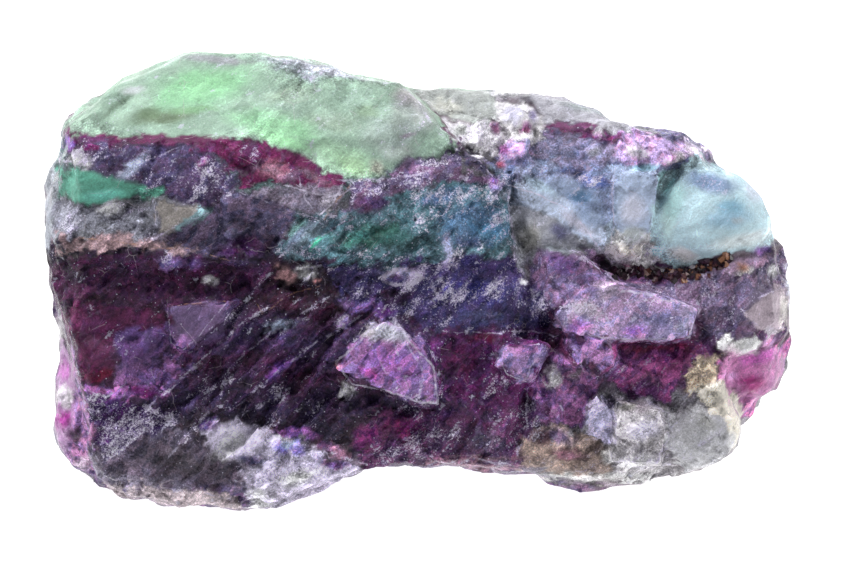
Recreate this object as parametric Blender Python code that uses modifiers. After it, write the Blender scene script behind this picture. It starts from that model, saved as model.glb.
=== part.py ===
"""A rough chunk of banded fluorite, broken along its cleavage, lying on a flat cleaved base.

The chunk is one natural piece, so it is one solid. It is laid out on its broad upper face:
u runs to the right along the face, v runs up it and w stands out of it, all in millimetres.
Outlines give the places where an eye over the middle of the face, EYE_DISTANCE away, sees
the corners, so a corner that lies deeper is moved outward to stay on its line of sight.
"""

import math

import bmesh
import bpy
from mathutils import Matrix, Vector, noise

# Driving dimensions, in millimetres and degrees
STONE_NAME = "fluorite_stone"
FACE_LEAN = 20.0  # the broad face leans this far from level, down towards the front
FACE_HEIGHT = 25.0  # from the base up to the middle of the face
EYE_DISTANCE = 330.0
ORIGIN_SHIFT = (0.067, -3.959)  # puts the origin under the middle of the chunk
GRAIN = 0.46  # size of the cells in which the lumps are fused
MOST_TRIANGLES = 14600  # before the flat base is cut, which takes some of them away
MM = 0.001

# The three big masses of the chunk. An outline is the mass at its widest, and a level is
# (height on w, how far the outline is drawn in there), from the back to the front.
LEFT_MASS = [
    (-35.7, 15.2), (-34.0, 17.0), (-31.7, 18.8), (-27.1, 21.0), (-23.8, 22.9), (-22.0, 23.0),
    (-13.0, 22.3), (-10.0, 21.3), (-2.0, 19.7), (1.0, 17.7), (3.5, 14.5), (7.2, 11.7),
    (8.8, 8.0), (10.2, 3.0), (12.8, -3.0), (12.5, -8.0), (10.5, -13.0), (9.7, -19.0),
    (5.0, -18.8), (-5.2, -18.2), (-6.8, -19.4), (-10.0, -20.5), (-13.5, -22.0), (-17.5, -23.0),
    (-22.0, -22.4), (-29.0, -21.2), (-32.0, -20.0), (-33.4, -17.0), (-34.7, -11.0),
    (-35.7, -5.5), (-36.8, -1.0), (-37.4, 4.0), (-37.4, 8.0), (-36.2, 12.0),
]
RIGHT_MASS = [
    (-4.0, 18.8), (0.0, 19.2), (4.0, 19.3), (8.0, 19.2), (10.7, 18.7), (14.0, 18.3),
    (18.0, 17.2), (19.6, 15.8), (26.0, 14.4), (28.4, 13.0), (28.8, 11.5), (32.0, 10.2),
    (34.0, 8.0), (35.1, 5.2), (36.0, 3.0), (36.9, -1.0), (36.8, -5.5), (35.0, -6.8),
    (31.0, -7.8), (30.4, -10.0), (31.1, -13.0), (31.6, -15.5), (30.6, -17.4), (28.6, -19.2),
    (22.0, -18.9), (19.4, -19.8), (14.0, -19.8), (10.0, -19.5), (4.0, -18.8), (-4.0, -16.0),
]
BACK_MASS = [
    (-35.5, 12.0), (-33.0, 16.0), (-28.0, 19.5), (-22.0, 21.5), (-12.0, 20.5), (-4.0, 18.5),
    (6.0, 18.0), (14.0, 16.6), (22.0, 14.0), (28.0, 11.2), (32.0, 8.6), (34.4, 5.0),
    (36.0, 1.0), (36.9, -2.0), (37.4, -5.5), (36.6, -9.0), (35.8, -11.2), (32.0, -13.2),
    (30.9, -15.8), (28.0, -18.6), (18.0, -19.0), (8.0, -18.4), (-4.0, -17.8), (-12.0, -19.8),
    (-22.0, -21.0), (-31.6, -20.8), (-34.8, -18.9), (-36.5, -16.6), (-37.1, -14.0),
    (-36.4, -9.0), (-35.8, -5.5), (-36.3, 0.0), (-36.8, 5.0),
]
LEFT_LEVELS = [(-26.0, 4.0), (-18.0, 1.2), (-12.0, 0.0), (-5.0, 0.2), (3.0, 1.4)]
RIGHT_LEVELS = [(-28.0, 4.5), (-20.0, 1.4), (-13.0, 0.0), (-8.0, 0.2), (1.0, 2.0)]
BACK_LEVELS = [(-46.0, 9.0), (-26.0, 3.4), (-17.0, 0.0), (-13.0, 0.4), (-10.0, 2.0)]

# Shelves that stand out round the lower body: the outline and its levels.
SHELVES = {
    "rear shelf": (
        [(-21.0, 10.0), (-19.0, 20.6), (-7.0, 19.8), (3.0, 18.8), (5.0, 9.0)],
        [(-44.0, 2.6), (-27.0, 0.6), (-22.0, 0.0), (-19.0, 2.2)],
    ),
    "rear right shelf": (
        [(8.0, 6.0), (12.0, 16.2), (21.0, 13.6), (28.6, 9.0), (27.0, 2.0)],
        [(-44.0, 3.0), (-30.0, 0.8), (-25.0, 0.3), (-22.0, 2.8)],
    ),
    "left foot": (
        [(-26.0, -6.0), (-35.6, -4.0), (-36.4, 4.0), (-33.0, 11.0), (-24.0, 12.0)],
        [(-44.0, 2.4), (-27.0, 0.9), (-22.0, 0.2), (-19.0, 2.4)],
    ),
    "front foot": (
        [(-27.0, -10.0), (-29.0, -20.4), (-15.0, -21.4), (-9.0, -19.2), (-7.0, -10.0)],
        [(-30.0, 1.6), (-17.0, 0.4), (-12.0, 0.6), (-9.0, 2.0)],
    ),
    "front right foot": (
        [(8.0, -10.0), (7.0, -18.0), (18.0, -18.9), (27.0, -18.0), (28.0, -10.0)],
        [(-34.0, 2.4), (-21.0, 0.9), (-16.0, 0.5), (-13.0, 2.4)],
    ),
    "right foot": (
        [(20.0, -4.0), (22.0, -16.4), (31.0, -13.0), (35.2, -6.6), (35.8, 1.0), (27.0, 6.0)],
        [(-40.0, 3.0), (-26.0, 1.4), (-21.0, 0.6), (-18.0, 2.6)],
    ),
}

# Roof facets cut each mass from above: the height w at the place (u, v), then how much the
# facet climbs for each millimetre of u and of v.
LEFT_ROOF = {
    "green cap": (-20.0, 13.8, 0.0, 0.04, -0.72),
    "upper face": (-15.0, 10.0, 0.0, -0.01, 0.05),
    "teal window": (-8.0, 8.0, 0.2, -0.13, 0.06),
    "lower face": (-15.0, -2.0, -0.7, 0.02, 0.2),
    "bottom bevel": (-18.0, -21.4, -4.6, -0.05, 2.2),
    "left bevel": (-35.0, 5.0, -1.6, 1.3, 0.05),
    "right flank": (9.0, 0.0, -1.8, -0.75, 0.1),
}
RIGHT_ROOF = {
    "rear slope": (15.0, 12.5, -4.2, -0.03, -0.95),
    "middle face": (20.0, 4.0, -4.4, -0.1, 0.05),
    "lower face": (20.0, -8.0, -5.2, -0.08, 0.22),
    "bottom bevel": (20.0, -19.2, -7.6, 0.0, 2.1),
    "right bevel": (33.5, 0.0, -6.6, -0.9, 0.0),
}

# Smaller pieces that stand on the masses: the outline, the underside, the roof facets.
SLABS = {
    "seam ledge": (
        [(-35.5, 13.8), (-21.0, 14.5), (-9.0, 11.6), (-2.5, 9.2), (-8.0, 6.8), (-18.0, 6.3),
         (-26.0, 8.6), (-34.5, 9.0)],
        -4.0, [(-20.0, 12.0, 0.9, -0.01, -0.03)],
    ),
    "teal step": (
        [(-14.0, 4.0), (-6.0, 9.5), (2.0, 11.8), (7.0, 11.5), (8.6, 7.0), (9.4, 1.6),
         (2.0, 1.2), (-9.0, 1.0)],
        -5.0, [(-3.0, 6.0, 0.6, -0.12, 0.07)],
    ),
    "beige facet": (
        [(-27.2, 8.8), (-21.6, 8.0), (-20.0, 5.4), (-25.8, 3.9), (-31.0, 5.0)],
        -4.0, [(-25.0, 6.5, 0.55, 0.03, 0.12)],
    ),
    "left sill": (
        [(-36.2, 5.2), (-30.0, 4.8), (-22.0, 3.2), (-15.0, 2.6), (-15.5, 1.4), (-30.0, 1.8),
         (-36.0, 2.4)],
        -4.0, [(-25.0, 3.5, 0.6, 0.02, 0.1)],
    ),
    "lilac wedge": (
        [(-25.2, -2.5), (-17.6, -2.2), (-19.5, -4.6), (-22.0, -6.9), (-24.2, -6.0)],
        -5.0, [(-22.0, -4.0, -0.15, -0.1, 0.1)],
    ),
    "left corner block": (
        [(-34.6, -5.6), (-29.5, -6.0), (-28.6, -12.4), (-30.8, -14.2), (-33.6, -13.0)],
        -7.0, [(-31.0, -9.0, -1.2, 0.1, 0.16)],
    ),
    "first diagonal rib": (
        [(-27.0, -16.5), (-20.5, -10.5), (-13.5, -3.8), (-9.0, -0.9), (-8.2, -2.2),
         (-14.0, -7.2), (-19.5, -13.4), (-24.5, -18.6)],
        -8.0, [(-17.0, -9.0, -1.0, 0.14, 0.2)],
    ),
    "second diagonal rib": (
        [(-19.0, -17.2), (-13.0, -9.8), (-7.5, -4.2), (-4.4, -3.4), (-6.4, -6.6),
         (-11.6, -12.2), (-15.6, -18.4)],
        -8.0, [(-11.0, -10.0, -1.1, 0.12, 0.2)],
    ),
    "white foot": (
        [(-20.0, -17.8), (-13.5, -15.4), (-7.0, -17.4), (-5.8, -18.8), (-10.0, -20.4),
         (-15.0, -22.2), (-20.0, -22.4)],
        -10.0, [(-13.0, -18.6, -3.9, 0.02, 0.55)],
    ),
    "broken lilac plate": (
        [(-8.6, -9.4), (-7.0, -6.4), (-2.4, -4.0), (0.6, -5.6), (2.0, -8.4), (2.2, -12.6),
         (-1.0, -12.0), (-4.4, -10.2), (-7.4, -11.6)],
        -6.0, [(-3.0, -8.0, -0.5, 0.02, 0.1)],
    ),
    "small pale chip": (
        [(6.6, -6.4), (10.6, -5.8), (13.6, -6.4), (12.8, -8.4), (11.0, -10.6), (8.6, -9.8)],
        -7.0, [(10.0, -8.0, -1.3, -0.05, 0.18)],
    ),
    "dark knob": (
        [(3.6, 12.8), (5.4, 13.0), (7.2, 11.6), (7.0, 10.2), (4.6, 11.0)],
        -6.0, [(5.5, 11.5, -0.1, -0.1, -0.3)],
    ),
    "crystal plate": (
        [(12.8, -2.2), (16.4, -0.6), (20.0, 0.4), (24.2, -1.2), (27.7, -2.4), (26.6, -5.7),
         (20.0, -6.4), (14.0, -6.2)],
        -9.0, [(20.0, -3.0, -2.5, -0.05, 0.1), (20.0, -1.0, -2.3, -0.02, -0.35)],
    ),
    "rose block": (
        [(13.6, -6.0), (20.0, -6.2), (21.0, -8.2), (17.6, -11.6), (15.4, -10.8)],
        -10.0, [(17.0, -8.0, -3.6, -0.1, 0.2)],
    ),
    "vein ledge": (
        [(8.4, 10.8), (12.6, 9.6), (18.4, 3.8), (22.0, 1.0), (18.2, 0.2), (12.0, -1.0),
         (10.4, 4.0)],
        -9.0, [(14.0, 5.0, -3.2, -0.15, 0.02)],
    ),
    "middle panel": (
        [(19.6, 10.8), (24.4, 11.2), (23.4, 7.0), (23.0, 3.2), (19.4, 2.4), (18.8, 6.0)],
        -9.0, [(21.0, 6.0, -3.9, -0.1, 0.08)],
    ),
    "pink cluster": (
        [(21.6, 14.2), (25.0, 14.4), (28.6, 12.6), (26.4, 11.6), (24.6, 10.4), (22.4, 12.0)],
        -9.0, [(25.0, 12.5, -4.7, -0.2, -0.4)],
    ),
    "rear crumbs": (
        [(5.6, 16.4), (9.6, 17.0), (11.8, 14.8), (10.8, 12.6), (8.0, 12.0), (5.4, 13.6)],
        -9.0, [(8.0, 14.0, -3.6, -0.15, -0.5)],
    ),
    "right facet": (
        [(32.0, -1.2), (35.6, 0.0), (36.4, -3.6), (34.4, -5.6), (31.8, -4.0)],
        -12.0, [(34.0, -2.5, -6.6, -0.5, 0.15)],
    ),
    "pale knuckle": (
        [(29.6, -5.0), (32.0, -4.6), (34.2, -5.4), (33.4, -7.4), (30.2, -7.8)],
        -12.0, [(31.5, -6.2, -6.4, -0.1, 0.1)],
    ),
    "grey block": (
        [(13.6, -14.0), (16.8, -11.8), (23.4, -12.6), (24.0, -17.0), (20.0, -18.8),
         (14.0, -18.6)],
        -12.0, [(18.0, -15.5, -5.5, 0.05, 0.25), (18.0, -17.4, -6.4, 0.0, 0.9)],
    ),
    "brown corner": (
        [(10.2, -12.6), (13.4, -12.2), (15.0, -15.0), (13.0, -18.8), (9.8, -18.8)],
        -12.0, [(12.0, -16.0, -4.6, -0.1, 0.25)],
    ),
}

# Rounded swellings: middle, then half widths, on u, v and w.
SWELLINGS = {
    "blue nodule": ((29.1, 5.6, -8.4), (6.3, 5.5, 4.8)),
    "grey boulder": ((27.6, -15.0, -9.4), (4.7, 4.3, 4.2)),
    "grey shoulder": ((22.0, -15.8, -9.2), (3.6, 3.2, 3.4)),
    "rear hump": ((16.6, 13.2, -8.0), (8.0, 3.2, 2.6)),
}

# Clefts: a run of places (u, v) on the face, then the width and the depth.
CLEFTS = {
    "crystal-lined cleft": ([(18.0, 1.6), (22.0, 0.9), (26.0, 1.1), (30.0, 1.8), (35.0, 3.6)], 1.4, 1.8),
    "cleft under the plate": ([(17.0, -7.0), (22.0, -7.2), (28.0, -5.6)], 1.7, 1.2),
    "dark band": ([(-35.0, 0.2), (-28.0, 0.0), (-20.0, -0.2), (-13.0, -0.8)], 1.7, 1.1),
    "upper diagonal cleft": ([(-25.5, -13.5), (-19.0, -8.6), (-13.5, -4.6), (-9.0, -2.6)], 1.0, 1.2),
    "lower diagonal cleft": ([(-21.0, -18.0), (-14.5, -11.4), (-9.5, -6.0), (-5.2, -3.4)], 1.1, 1.4),
    "ridge cleft": ([(8.8, 10.4), (10.6, 4.0), (13.4, -3.0), (13.0, -8.0), (10.4, -14.0), (9.6, -18.6)], 0.9, 1.0),
    "nodule crescent": ([(23.2, 2.0), (22.6, 5.6), (23.6, 8.8), (26.0, 11.2)], 0.9, 1.6),
    "cap step": ([(-4.0, 19.4), (0.4, 17.0), (3.4, 13.6), (5.0, 11.2)], 0.9, 0.9),
    "pocket edge": ([(-35.6, 7.4), (-33.0, 7.0), (-31.0, 5.6), (-27.4, 6.8)], 0.8, 0.9),
    "plate foot": ([(-8.8, -12.0), (-4.6, -11.4), (0.0, -13.4), (3.0, -12.6)], 1.0, 1.1),
}

# Flat cleavage faces round the sides: a place and the way out of the stone.
SIDE_FACETS = {
    "front left": ((-22.0, -24.2, -9.0), (-0.1, -0.97, -0.2)),
    "front right": ((24.0, -21.4, -13.0), (0.12, -0.96, -0.24)),
    "right": ((37.7, -1.0, -14.0), (0.95, 0.08, -0.27)),
    "right rear": ((33.8, 10.4, -14.0), (0.66, 0.66, -0.37)),
    "rear": ((6.0, 20.4, -16.0), (0.1, 0.89, -0.45)),
    "rear left": ((-28.0, 22.0, -10.0), (-0.46, 0.79, -0.41)),
    "left": ((-38.4, 4.0, -11.0), (-0.96, 0.08, -0.27)),
    "lower left": ((-38.0, -14.0, -17.0), (-0.92, -0.26, -0.27)),
}

# Calm places, where the break is smooth: middle (u, v), reach, share of the hackle kept.
CALM = {
    "green cap": ((-20.0, 18.0), 12.0, 0.35),
    "green cap, right": ((-4.0, 14.5), 8.0, 0.4),
    "teal window": ((-2.0, 6.0), 7.0, 0.45),
    "green pocket": ((-32.5, 9.5), 4.0, 0.3),
    "blue nodule": ((29.4, 5.9), 6.5, 0.25),
    "crystal plate": ((21.0, -3.0), 6.5, 0.3),
    "lilac wedge": ((-21.5, -4.4), 4.0, 0.3),
    "dark band": ((-24.0, 0.4), 8.0, 0.4),
    "left block": ((-31.0, -9.5), 4.0, 0.4),
}


def seen_at(u, v, w):
    """The point at height w that the eye sees at (u, v)."""
    spread = 1 - w / EYE_DISTANCE
    return Vector((u * spread, v * spread, w))


def drawn_in(outline, inset):
    """The outline with each corner moved inward along the bisector of its two sides."""
    count = len(outline)
    corners = [Vector(point) for point in outline]
    moved = []
    for index, corner in enumerate(corners):
        before = (corner - corners[index - 1]).normalized()
        after = (corners[(index + 1) % count] - corner).normalized()
        along = (before + after).normalized()
        inward = Vector((along.y, -along.x))
        moved.append(corner + inward * inset)
    return moved


def loft(bm, outline, levels):
    """A closed mass whose section is the outline, drawn in by a little at each level."""
    rings = []
    for height, inset in levels:
        corners = drawn_in(outline, inset)
        rings.append([bm.verts.new(seen_at(*corner, height)) for corner in corners])
    count = len(outline)
    for lower, upper in zip(rings, rings[1:]):
        for index in range(count):
            after = (index + 1) % count
            bm.faces.new((lower[index], lower[after], upper[after], upper[index]))
    bm.faces.new(list(reversed(rings[0])))
    bm.faces.new(rings[-1])
    bmesh.ops.recalc_face_normals(bm, faces=bm.faces)


def cleave(bm, place, outward):
    """Breaks off all that lies beyond a plane and closes the break with a flat face."""
    everything = bm.verts[:] + bm.edges[:] + bm.faces[:]
    bmesh.ops.bisect_plane(
        bm, geom=everything, dist=1e-5, plane_co=place, plane_no=outward, clear_outer=True
    )
    rim = [edge for edge in bm.edges if edge.is_boundary]
    if rim:
        bmesh.ops.holes_fill(bm, edges=rim, sides=0)
        bmesh.ops.recalc_face_normals(bm, faces=bm.faces)


def roof_plane(facet):
    """The place and the upward direction of a roof facet."""
    u, v, height, climb_u, climb_v = facet
    return seen_at(u, v, height), Vector((-climb_u, -climb_v, 1.0)).normalized()


def lofted_mass(outline, levels, roof):
    """One of the big masses, as a mesh of its own."""
    bm = bmesh.new()
    loft(bm, outline, levels)
    for facet in roof:
        cleave(bm, *roof_plane(facet))
    return bm


def slab(outline, underside, roof):
    """A low block with steep, slightly sloping sides and one or two roof facets."""
    top = max(facet[2] for facet in roof) + 3.0
    bm = bmesh.new()
    loft(bm, outline, [(underside, 0.0), (top, 0.9)])
    for facet in roof:
        cleave(bm, *roof_plane(facet))
    return bm


def swelling(middle, half_widths):
    """A rounded lump."""
    bm = bmesh.new()
    stretch = Matrix.Diagonal((*half_widths, 1.0))
    place = Matrix.Translation(seen_at(*middle))
    bmesh.ops.create_icosphere(bm, subdivisions=3, radius=1.0, matrix=place @ stretch)
    return bm


def all_masses():
    """Every mass, slab and swelling, overlapping one another."""
    yield lofted_mass(LEFT_MASS, LEFT_LEVELS, LEFT_ROOF.values())
    yield lofted_mass(RIGHT_MASS, RIGHT_LEVELS, RIGHT_ROOF.values())
    yield lofted_mass(BACK_MASS, BACK_LEVELS, [])
    for outline, levels in SHELVES.values():
        yield lofted_mass(outline, levels, [])
    for outline, underside, roof in SLABS.values():
        yield slab(outline, underside, roof)
    for middle, half_widths in SWELLINGS.values():
        yield swelling(middle, half_widths)


def gathered_mesh():
    """All the masses in one mesh, still overlapping."""
    together = bmesh.new()
    for bm in all_masses():
        piece = bpy.data.meshes.new("piece")
        bm.to_mesh(piece)
        bm.free()
        together.from_mesh(piece)
        bpy.data.meshes.remove(piece)
    mesh = bpy.data.meshes.new(STONE_NAME)
    together.to_mesh(mesh)
    together.free()
    return mesh


def fused(mesh, size):
    """The skin round everything in the mesh, as one closed body."""
    obj = bpy.data.objects.new("fusing", mesh)
    bpy.context.scene.collection.objects.link(obj)
    remesh = obj.modifiers.new("Fuse", "REMESH")
    remesh.mode = "VOXEL"
    remesh.voxel_size = size
    return replaced_by_evaluated(obj)


def thinned(mesh, triangles):
    """The same body with fewer faces: flat places lose most, edges keep theirs."""
    obj = bpy.data.objects.new("thinning", mesh)
    bpy.context.scene.collection.objects.link(obj)
    split = obj.modifiers.new("Split", "TRIANGULATE")
    split.quad_method = "BEAUTY"
    thin = obj.modifiers.new("Thin", "DECIMATE")
    thin.ratio = triangles / sum(len(polygon.vertices) - 2 for polygon in mesh.polygons)
    return replaced_by_evaluated(obj)


def replaced_by_evaluated(obj):
    """Removes the object and gives back the mesh that its modifiers make."""
    bpy.context.view_layer.update()
    graph = bpy.context.evaluated_depsgraph_get()
    made = bpy.data.meshes.new_from_object(obj.evaluated_get(graph))
    source = obj.data
    bpy.data.objects.remove(obj)
    bpy.data.meshes.remove(source)
    return made


def along_run(point, run):
    """The nearest distance from a place on the face to a run of places."""
    nearest = 1e9
    for start, end in zip(run, run[1:]):
        first, step = Vector(start), Vector(end) - Vector(start)
        share = max(0.0, min(1.0, (point - first).dot(step) / step.length_squared))
        nearest = min(nearest, (point - first - step * share).length)
    return nearest


def cleft_depth(place, wander):
    """How far the clefts sink the surface at a point that faces up."""
    depth = 0.0
    on_face = Vector((place.x, place.y)) + wander
    for run, width, deepest in CLEFTS.values():
        distance = along_run(on_face, run)
        if distance < width:
            depth = max(depth, deepest * (1 - (distance / width) ** 2))
    return depth


def broken_facet(place, size, tilt, step):
    """The height of a hackly break: flat facets about this size, each tilted its own way."""
    scaled = place / size
    middle = noise.voronoi(scaled)[1][0]
    chance = noise.cell_vector(middle * 31.7) * 2 - Vector((1.0, 1.0, 1.0))
    return (scaled - middle).dot(chance) * tilt + chance.x * step


def calmness(place):
    """The share of the hackle that is kept at a point."""
    kept = 1.0
    for middle, reach, share in CALM.values():
        distance = (Vector((place.x, place.y)) - Vector(middle)).length / reach
        if distance < 1.0 and place.z > -12.0:
            kept = min(kept, share + (1 - share) * distance ** 3)
    return kept


def ribbing(place, spacing, height):
    """Slanting cleavage ribs that cross the lower left of the face from low to high."""
    across = (place.x - place.y) * math.sqrt(0.5)
    across += 0.9 * noise.noise(place * 0.14)
    phase = (across / spacing) % 1.0
    mask = math.exp(-(((place.x + 17) / 12) ** 2) - (((place.y + 11) / 8) ** 2))
    return height * mask * (phase - 0.5)


def sculpt(mesh):
    """Works the clefts, the ribs and the hackly breaks into the fused body."""
    moved = []
    for vertex in mesh.vertices:
        place, outward = vertex.co.copy(), vertex.normal
        wander = noise.noise_vector(place * 0.35).to_2d() * 0.8
        facing = max(0.0, outward.z)
        height = 0.75 * broken_facet(place, 6.5, 0.9, 0.3)
        height += 0.45 * broken_facet(place + Vector((40.0, 0.0, 0.0)), 2.8, 0.8, 0.35)
        height *= calmness(place)
        height += ribbing(place, 2.3, 1.3) * facing
        height -= cleft_depth(place, wander) * facing
        moved.append(place + outward * height)
    for vertex, place in zip(mesh.vertices, moved):
        vertex.co = place
    mesh.update()


def trimmed(mesh):
    """The body with its side cleavage faces broken clean."""
    bm = bmesh.new()
    bm.from_mesh(mesh)
    for place, outward in SIDE_FACETS.values():
        cleave(bm, seen_at(*place), Vector(outward).normalized())
    bm.to_mesh(mesh)
    bm.free()
    return mesh


def drop_crumbs(bm):
    """Keeps the stone and removes the loose crumbs and sealed voids that the fusing leaves."""
    seen = set()
    bodies = []
    for start in bm.verts:
        if start in seen:
            continue
        seen.add(start)
        body = [start]
        for vertex in body:
            for edge in vertex.link_edges:
                neighbour = edge.other_vert(vertex)
                if neighbour not in seen:
                    seen.add(neighbour)
                    body.append(neighbour)
        bodies.append(body)
    bodies.sort(key=len)
    crumbs = [vertex for body in bodies[:-1] for vertex in body]
    bmesh.ops.delete(bm, geom=crumbs, context="VERTS")


def laid_down(mesh):
    """Stands the face in its real pose, cuts the flat base and brings it all to metres."""
    lean = Matrix.Rotation(math.radians(FACE_LEAN), 4, "X")
    lift = Matrix.Translation((*ORIGIN_SHIFT, FACE_HEIGHT))
    bm = bmesh.new()
    bm.from_mesh(mesh)
    bm.transform(lift @ lean)
    cleave(bm, Vector((0.0, 0.0, 0.0)), Vector((0.0, 0.0, -1.0)))
    drop_crumbs(bm)
    bm.transform(Matrix.Scale(MM, 4))
    bmesh.ops.triangulate(bm, faces=[face for face in bm.faces if len(face.verts) > 3])
    bmesh.ops.dissolve_degenerate(bm, edges=bm.edges, dist=1e-6)
    bm.to_mesh(mesh)
    bm.free()


def fluorite_material():
    """Dark violet fluorite, fairly glossy."""
    material = bpy.data.materials.new("violet_fluorite")
    material.use_nodes = True
    shader = material.node_tree.nodes["Principled BSDF"]
    shader.inputs["Base Color"].default_value = (0.16, 0.09, 0.2, 1.0)
    shader.inputs["Roughness"].default_value = 0.35
    shader.inputs["Metallic"].default_value = 0.0
    shader.inputs["IOR"].default_value = 1.434
    return material


def build():
    """Makes the stone in a collection of its own."""
    for obj in list(bpy.data.objects):
        bpy.data.objects.remove(obj)
    collection = bpy.data.collections.new("fluorite_chunk")
    bpy.context.scene.collection.children.link(collection)
    mesh = trimmed(fused(gathered_mesh(), GRAIN))
    mesh = fused(mesh, GRAIN)
    sculpt(mesh)
    mesh = fused(mesh, GRAIN)
    mesh = thinned(mesh, MOST_TRIANGLES)
    laid_down(mesh)
    mesh.name = STONE_NAME
    mesh.materials.clear()
    mesh.materials.append(fluorite_material())
    stone = bpy.data.objects.new(STONE_NAME, mesh)
    collection.objects.link(stone)
    return stone


build()
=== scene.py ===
# %% [markdown]
# # A rough chunk of rainbow fluorite
#
# Fluorite grows in coloured layers and breaks along flat cleavage planes. This lesson dresses a
# plain solid of such a chunk: first its broken surface, then the coloured layers, the white frost
# of crushed crystal and the crust of tiny crystals in its cleft, and last the floor, the lights
# and the camera. The plain solid is loaded first, and everything is measured from it.

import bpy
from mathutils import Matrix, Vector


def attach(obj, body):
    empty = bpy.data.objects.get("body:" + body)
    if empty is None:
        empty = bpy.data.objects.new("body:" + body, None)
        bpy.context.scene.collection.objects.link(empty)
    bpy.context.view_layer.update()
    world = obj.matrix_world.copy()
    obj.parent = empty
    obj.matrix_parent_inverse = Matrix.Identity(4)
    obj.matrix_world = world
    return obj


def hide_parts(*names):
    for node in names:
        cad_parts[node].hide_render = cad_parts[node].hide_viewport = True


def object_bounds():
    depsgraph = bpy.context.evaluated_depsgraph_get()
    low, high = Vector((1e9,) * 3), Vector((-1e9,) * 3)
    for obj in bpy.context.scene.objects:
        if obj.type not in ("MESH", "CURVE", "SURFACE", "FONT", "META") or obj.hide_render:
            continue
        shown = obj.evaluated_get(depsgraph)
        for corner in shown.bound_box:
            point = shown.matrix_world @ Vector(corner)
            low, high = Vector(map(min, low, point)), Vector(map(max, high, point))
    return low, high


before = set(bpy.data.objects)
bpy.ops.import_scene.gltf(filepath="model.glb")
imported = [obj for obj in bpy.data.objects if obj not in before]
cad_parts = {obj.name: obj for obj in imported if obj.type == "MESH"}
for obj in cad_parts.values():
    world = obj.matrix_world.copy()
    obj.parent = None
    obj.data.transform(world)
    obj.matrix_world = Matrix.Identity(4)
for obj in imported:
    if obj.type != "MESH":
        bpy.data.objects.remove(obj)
cad_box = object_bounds()
print("Plain solid from", cad_box[0], "to", cad_box[1])

# %% [markdown]
# Blender's own modules do the modelling. numpy works on all the points of a mesh at once, which a
# surface of a hundred thousand points needs. Every random choice comes from one seeded source, so
# the stone is the same each time.

# %% Tools
import math

import bpy
import numpy as np
from mathutils import Matrix, Vector, noise
from mathutils.bvhtree import BVHTree

MM = 0.001
STONE_NODE = "fluorite_stone"
random = np.random.default_rng(12)

# %% [markdown]
# ## The broad face
#
# The stone lies on its flat base, and its broad broken face leans a little to the front. All the
# coloured patches are seen on that face, so they are easiest to place in its own measures: u runs
# to the right, v runs up the face and w stands out of it, in millimetres. The eye stands over the
# face, and a patch is placed where that eye sees it.

# %% Measures of the broad face
FACE_LEAN = math.radians(20)
FACE_MIDDLE = (0.067, -3.959, 25.0)
EYE_DISTANCE = 330.0

FACE_TO_PART = (
    Matrix.Scale(MM, 4) @ Matrix.Translation(FACE_MIDDLE) @ Matrix.Rotation(FACE_LEAN, 4, "X")
)
PART_TO_FACE = FACE_TO_PART.inverted()


def on_face(points):
    """Points of the part, in metres, as places (u, v, w) on the face, in millimetres."""
    turn = np.array(PART_TO_FACE)
    return points @ turn[:3, :3].T + turn[:3, 3]


def as_seen(places):
    """Where on the face, in (u, v), the eye sees each place."""
    return places[:, :2] / (1 - places[:, 2:] / EYE_DISTANCE)


def deselect_all():
    """Leaves nothing selected, because an operator acts on all that is."""
    bpy.ops.object.select_all(action="DESELECT")


print("Middle of the face:", FACE_TO_PART @ Vector((0, 0, 0)))

# %% [markdown]
# ## A copy of the solid to work on
#
# The plain solid stays as it is. Its mesh comes as loose triangles, so a copy is merged into one
# closed skin, which is what the next steps can fuse and break.

# %% Copy and merge
deselect_all()
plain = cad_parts[STONE_NODE]
stone = bpy.data.objects.new("banded_fluorite_chunk", plain.data.copy())
bpy.context.scene.collection.objects.link(stone)
bpy.context.view_layer.objects.active = stone
stone.select_set(True)
bpy.ops.object.mode_set(mode="EDIT")
bpy.ops.mesh.select_all(action="SELECT")
bpy.ops.mesh.remove_doubles(threshold=1e-6)
bpy.ops.mesh.normals_make_consistent(inside=False)
bpy.ops.object.mode_set(mode="OBJECT")
stone.data.materials.clear()
print("Merged skin:", len(stone.data.vertices), "points")

# %% [markdown]
# ## Crystal plates
#
# On the real stone some crystals broke off as flat plates with straight edges. A plate is a block
# that is cut along its outline, as a real crystal cleaves: Bisect in edit mode keeps one side of a
# plane and closes the cut. The outline runs anticlockwise and bulges everywhere, so each of its
# sides gives one cutting plane.

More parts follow.
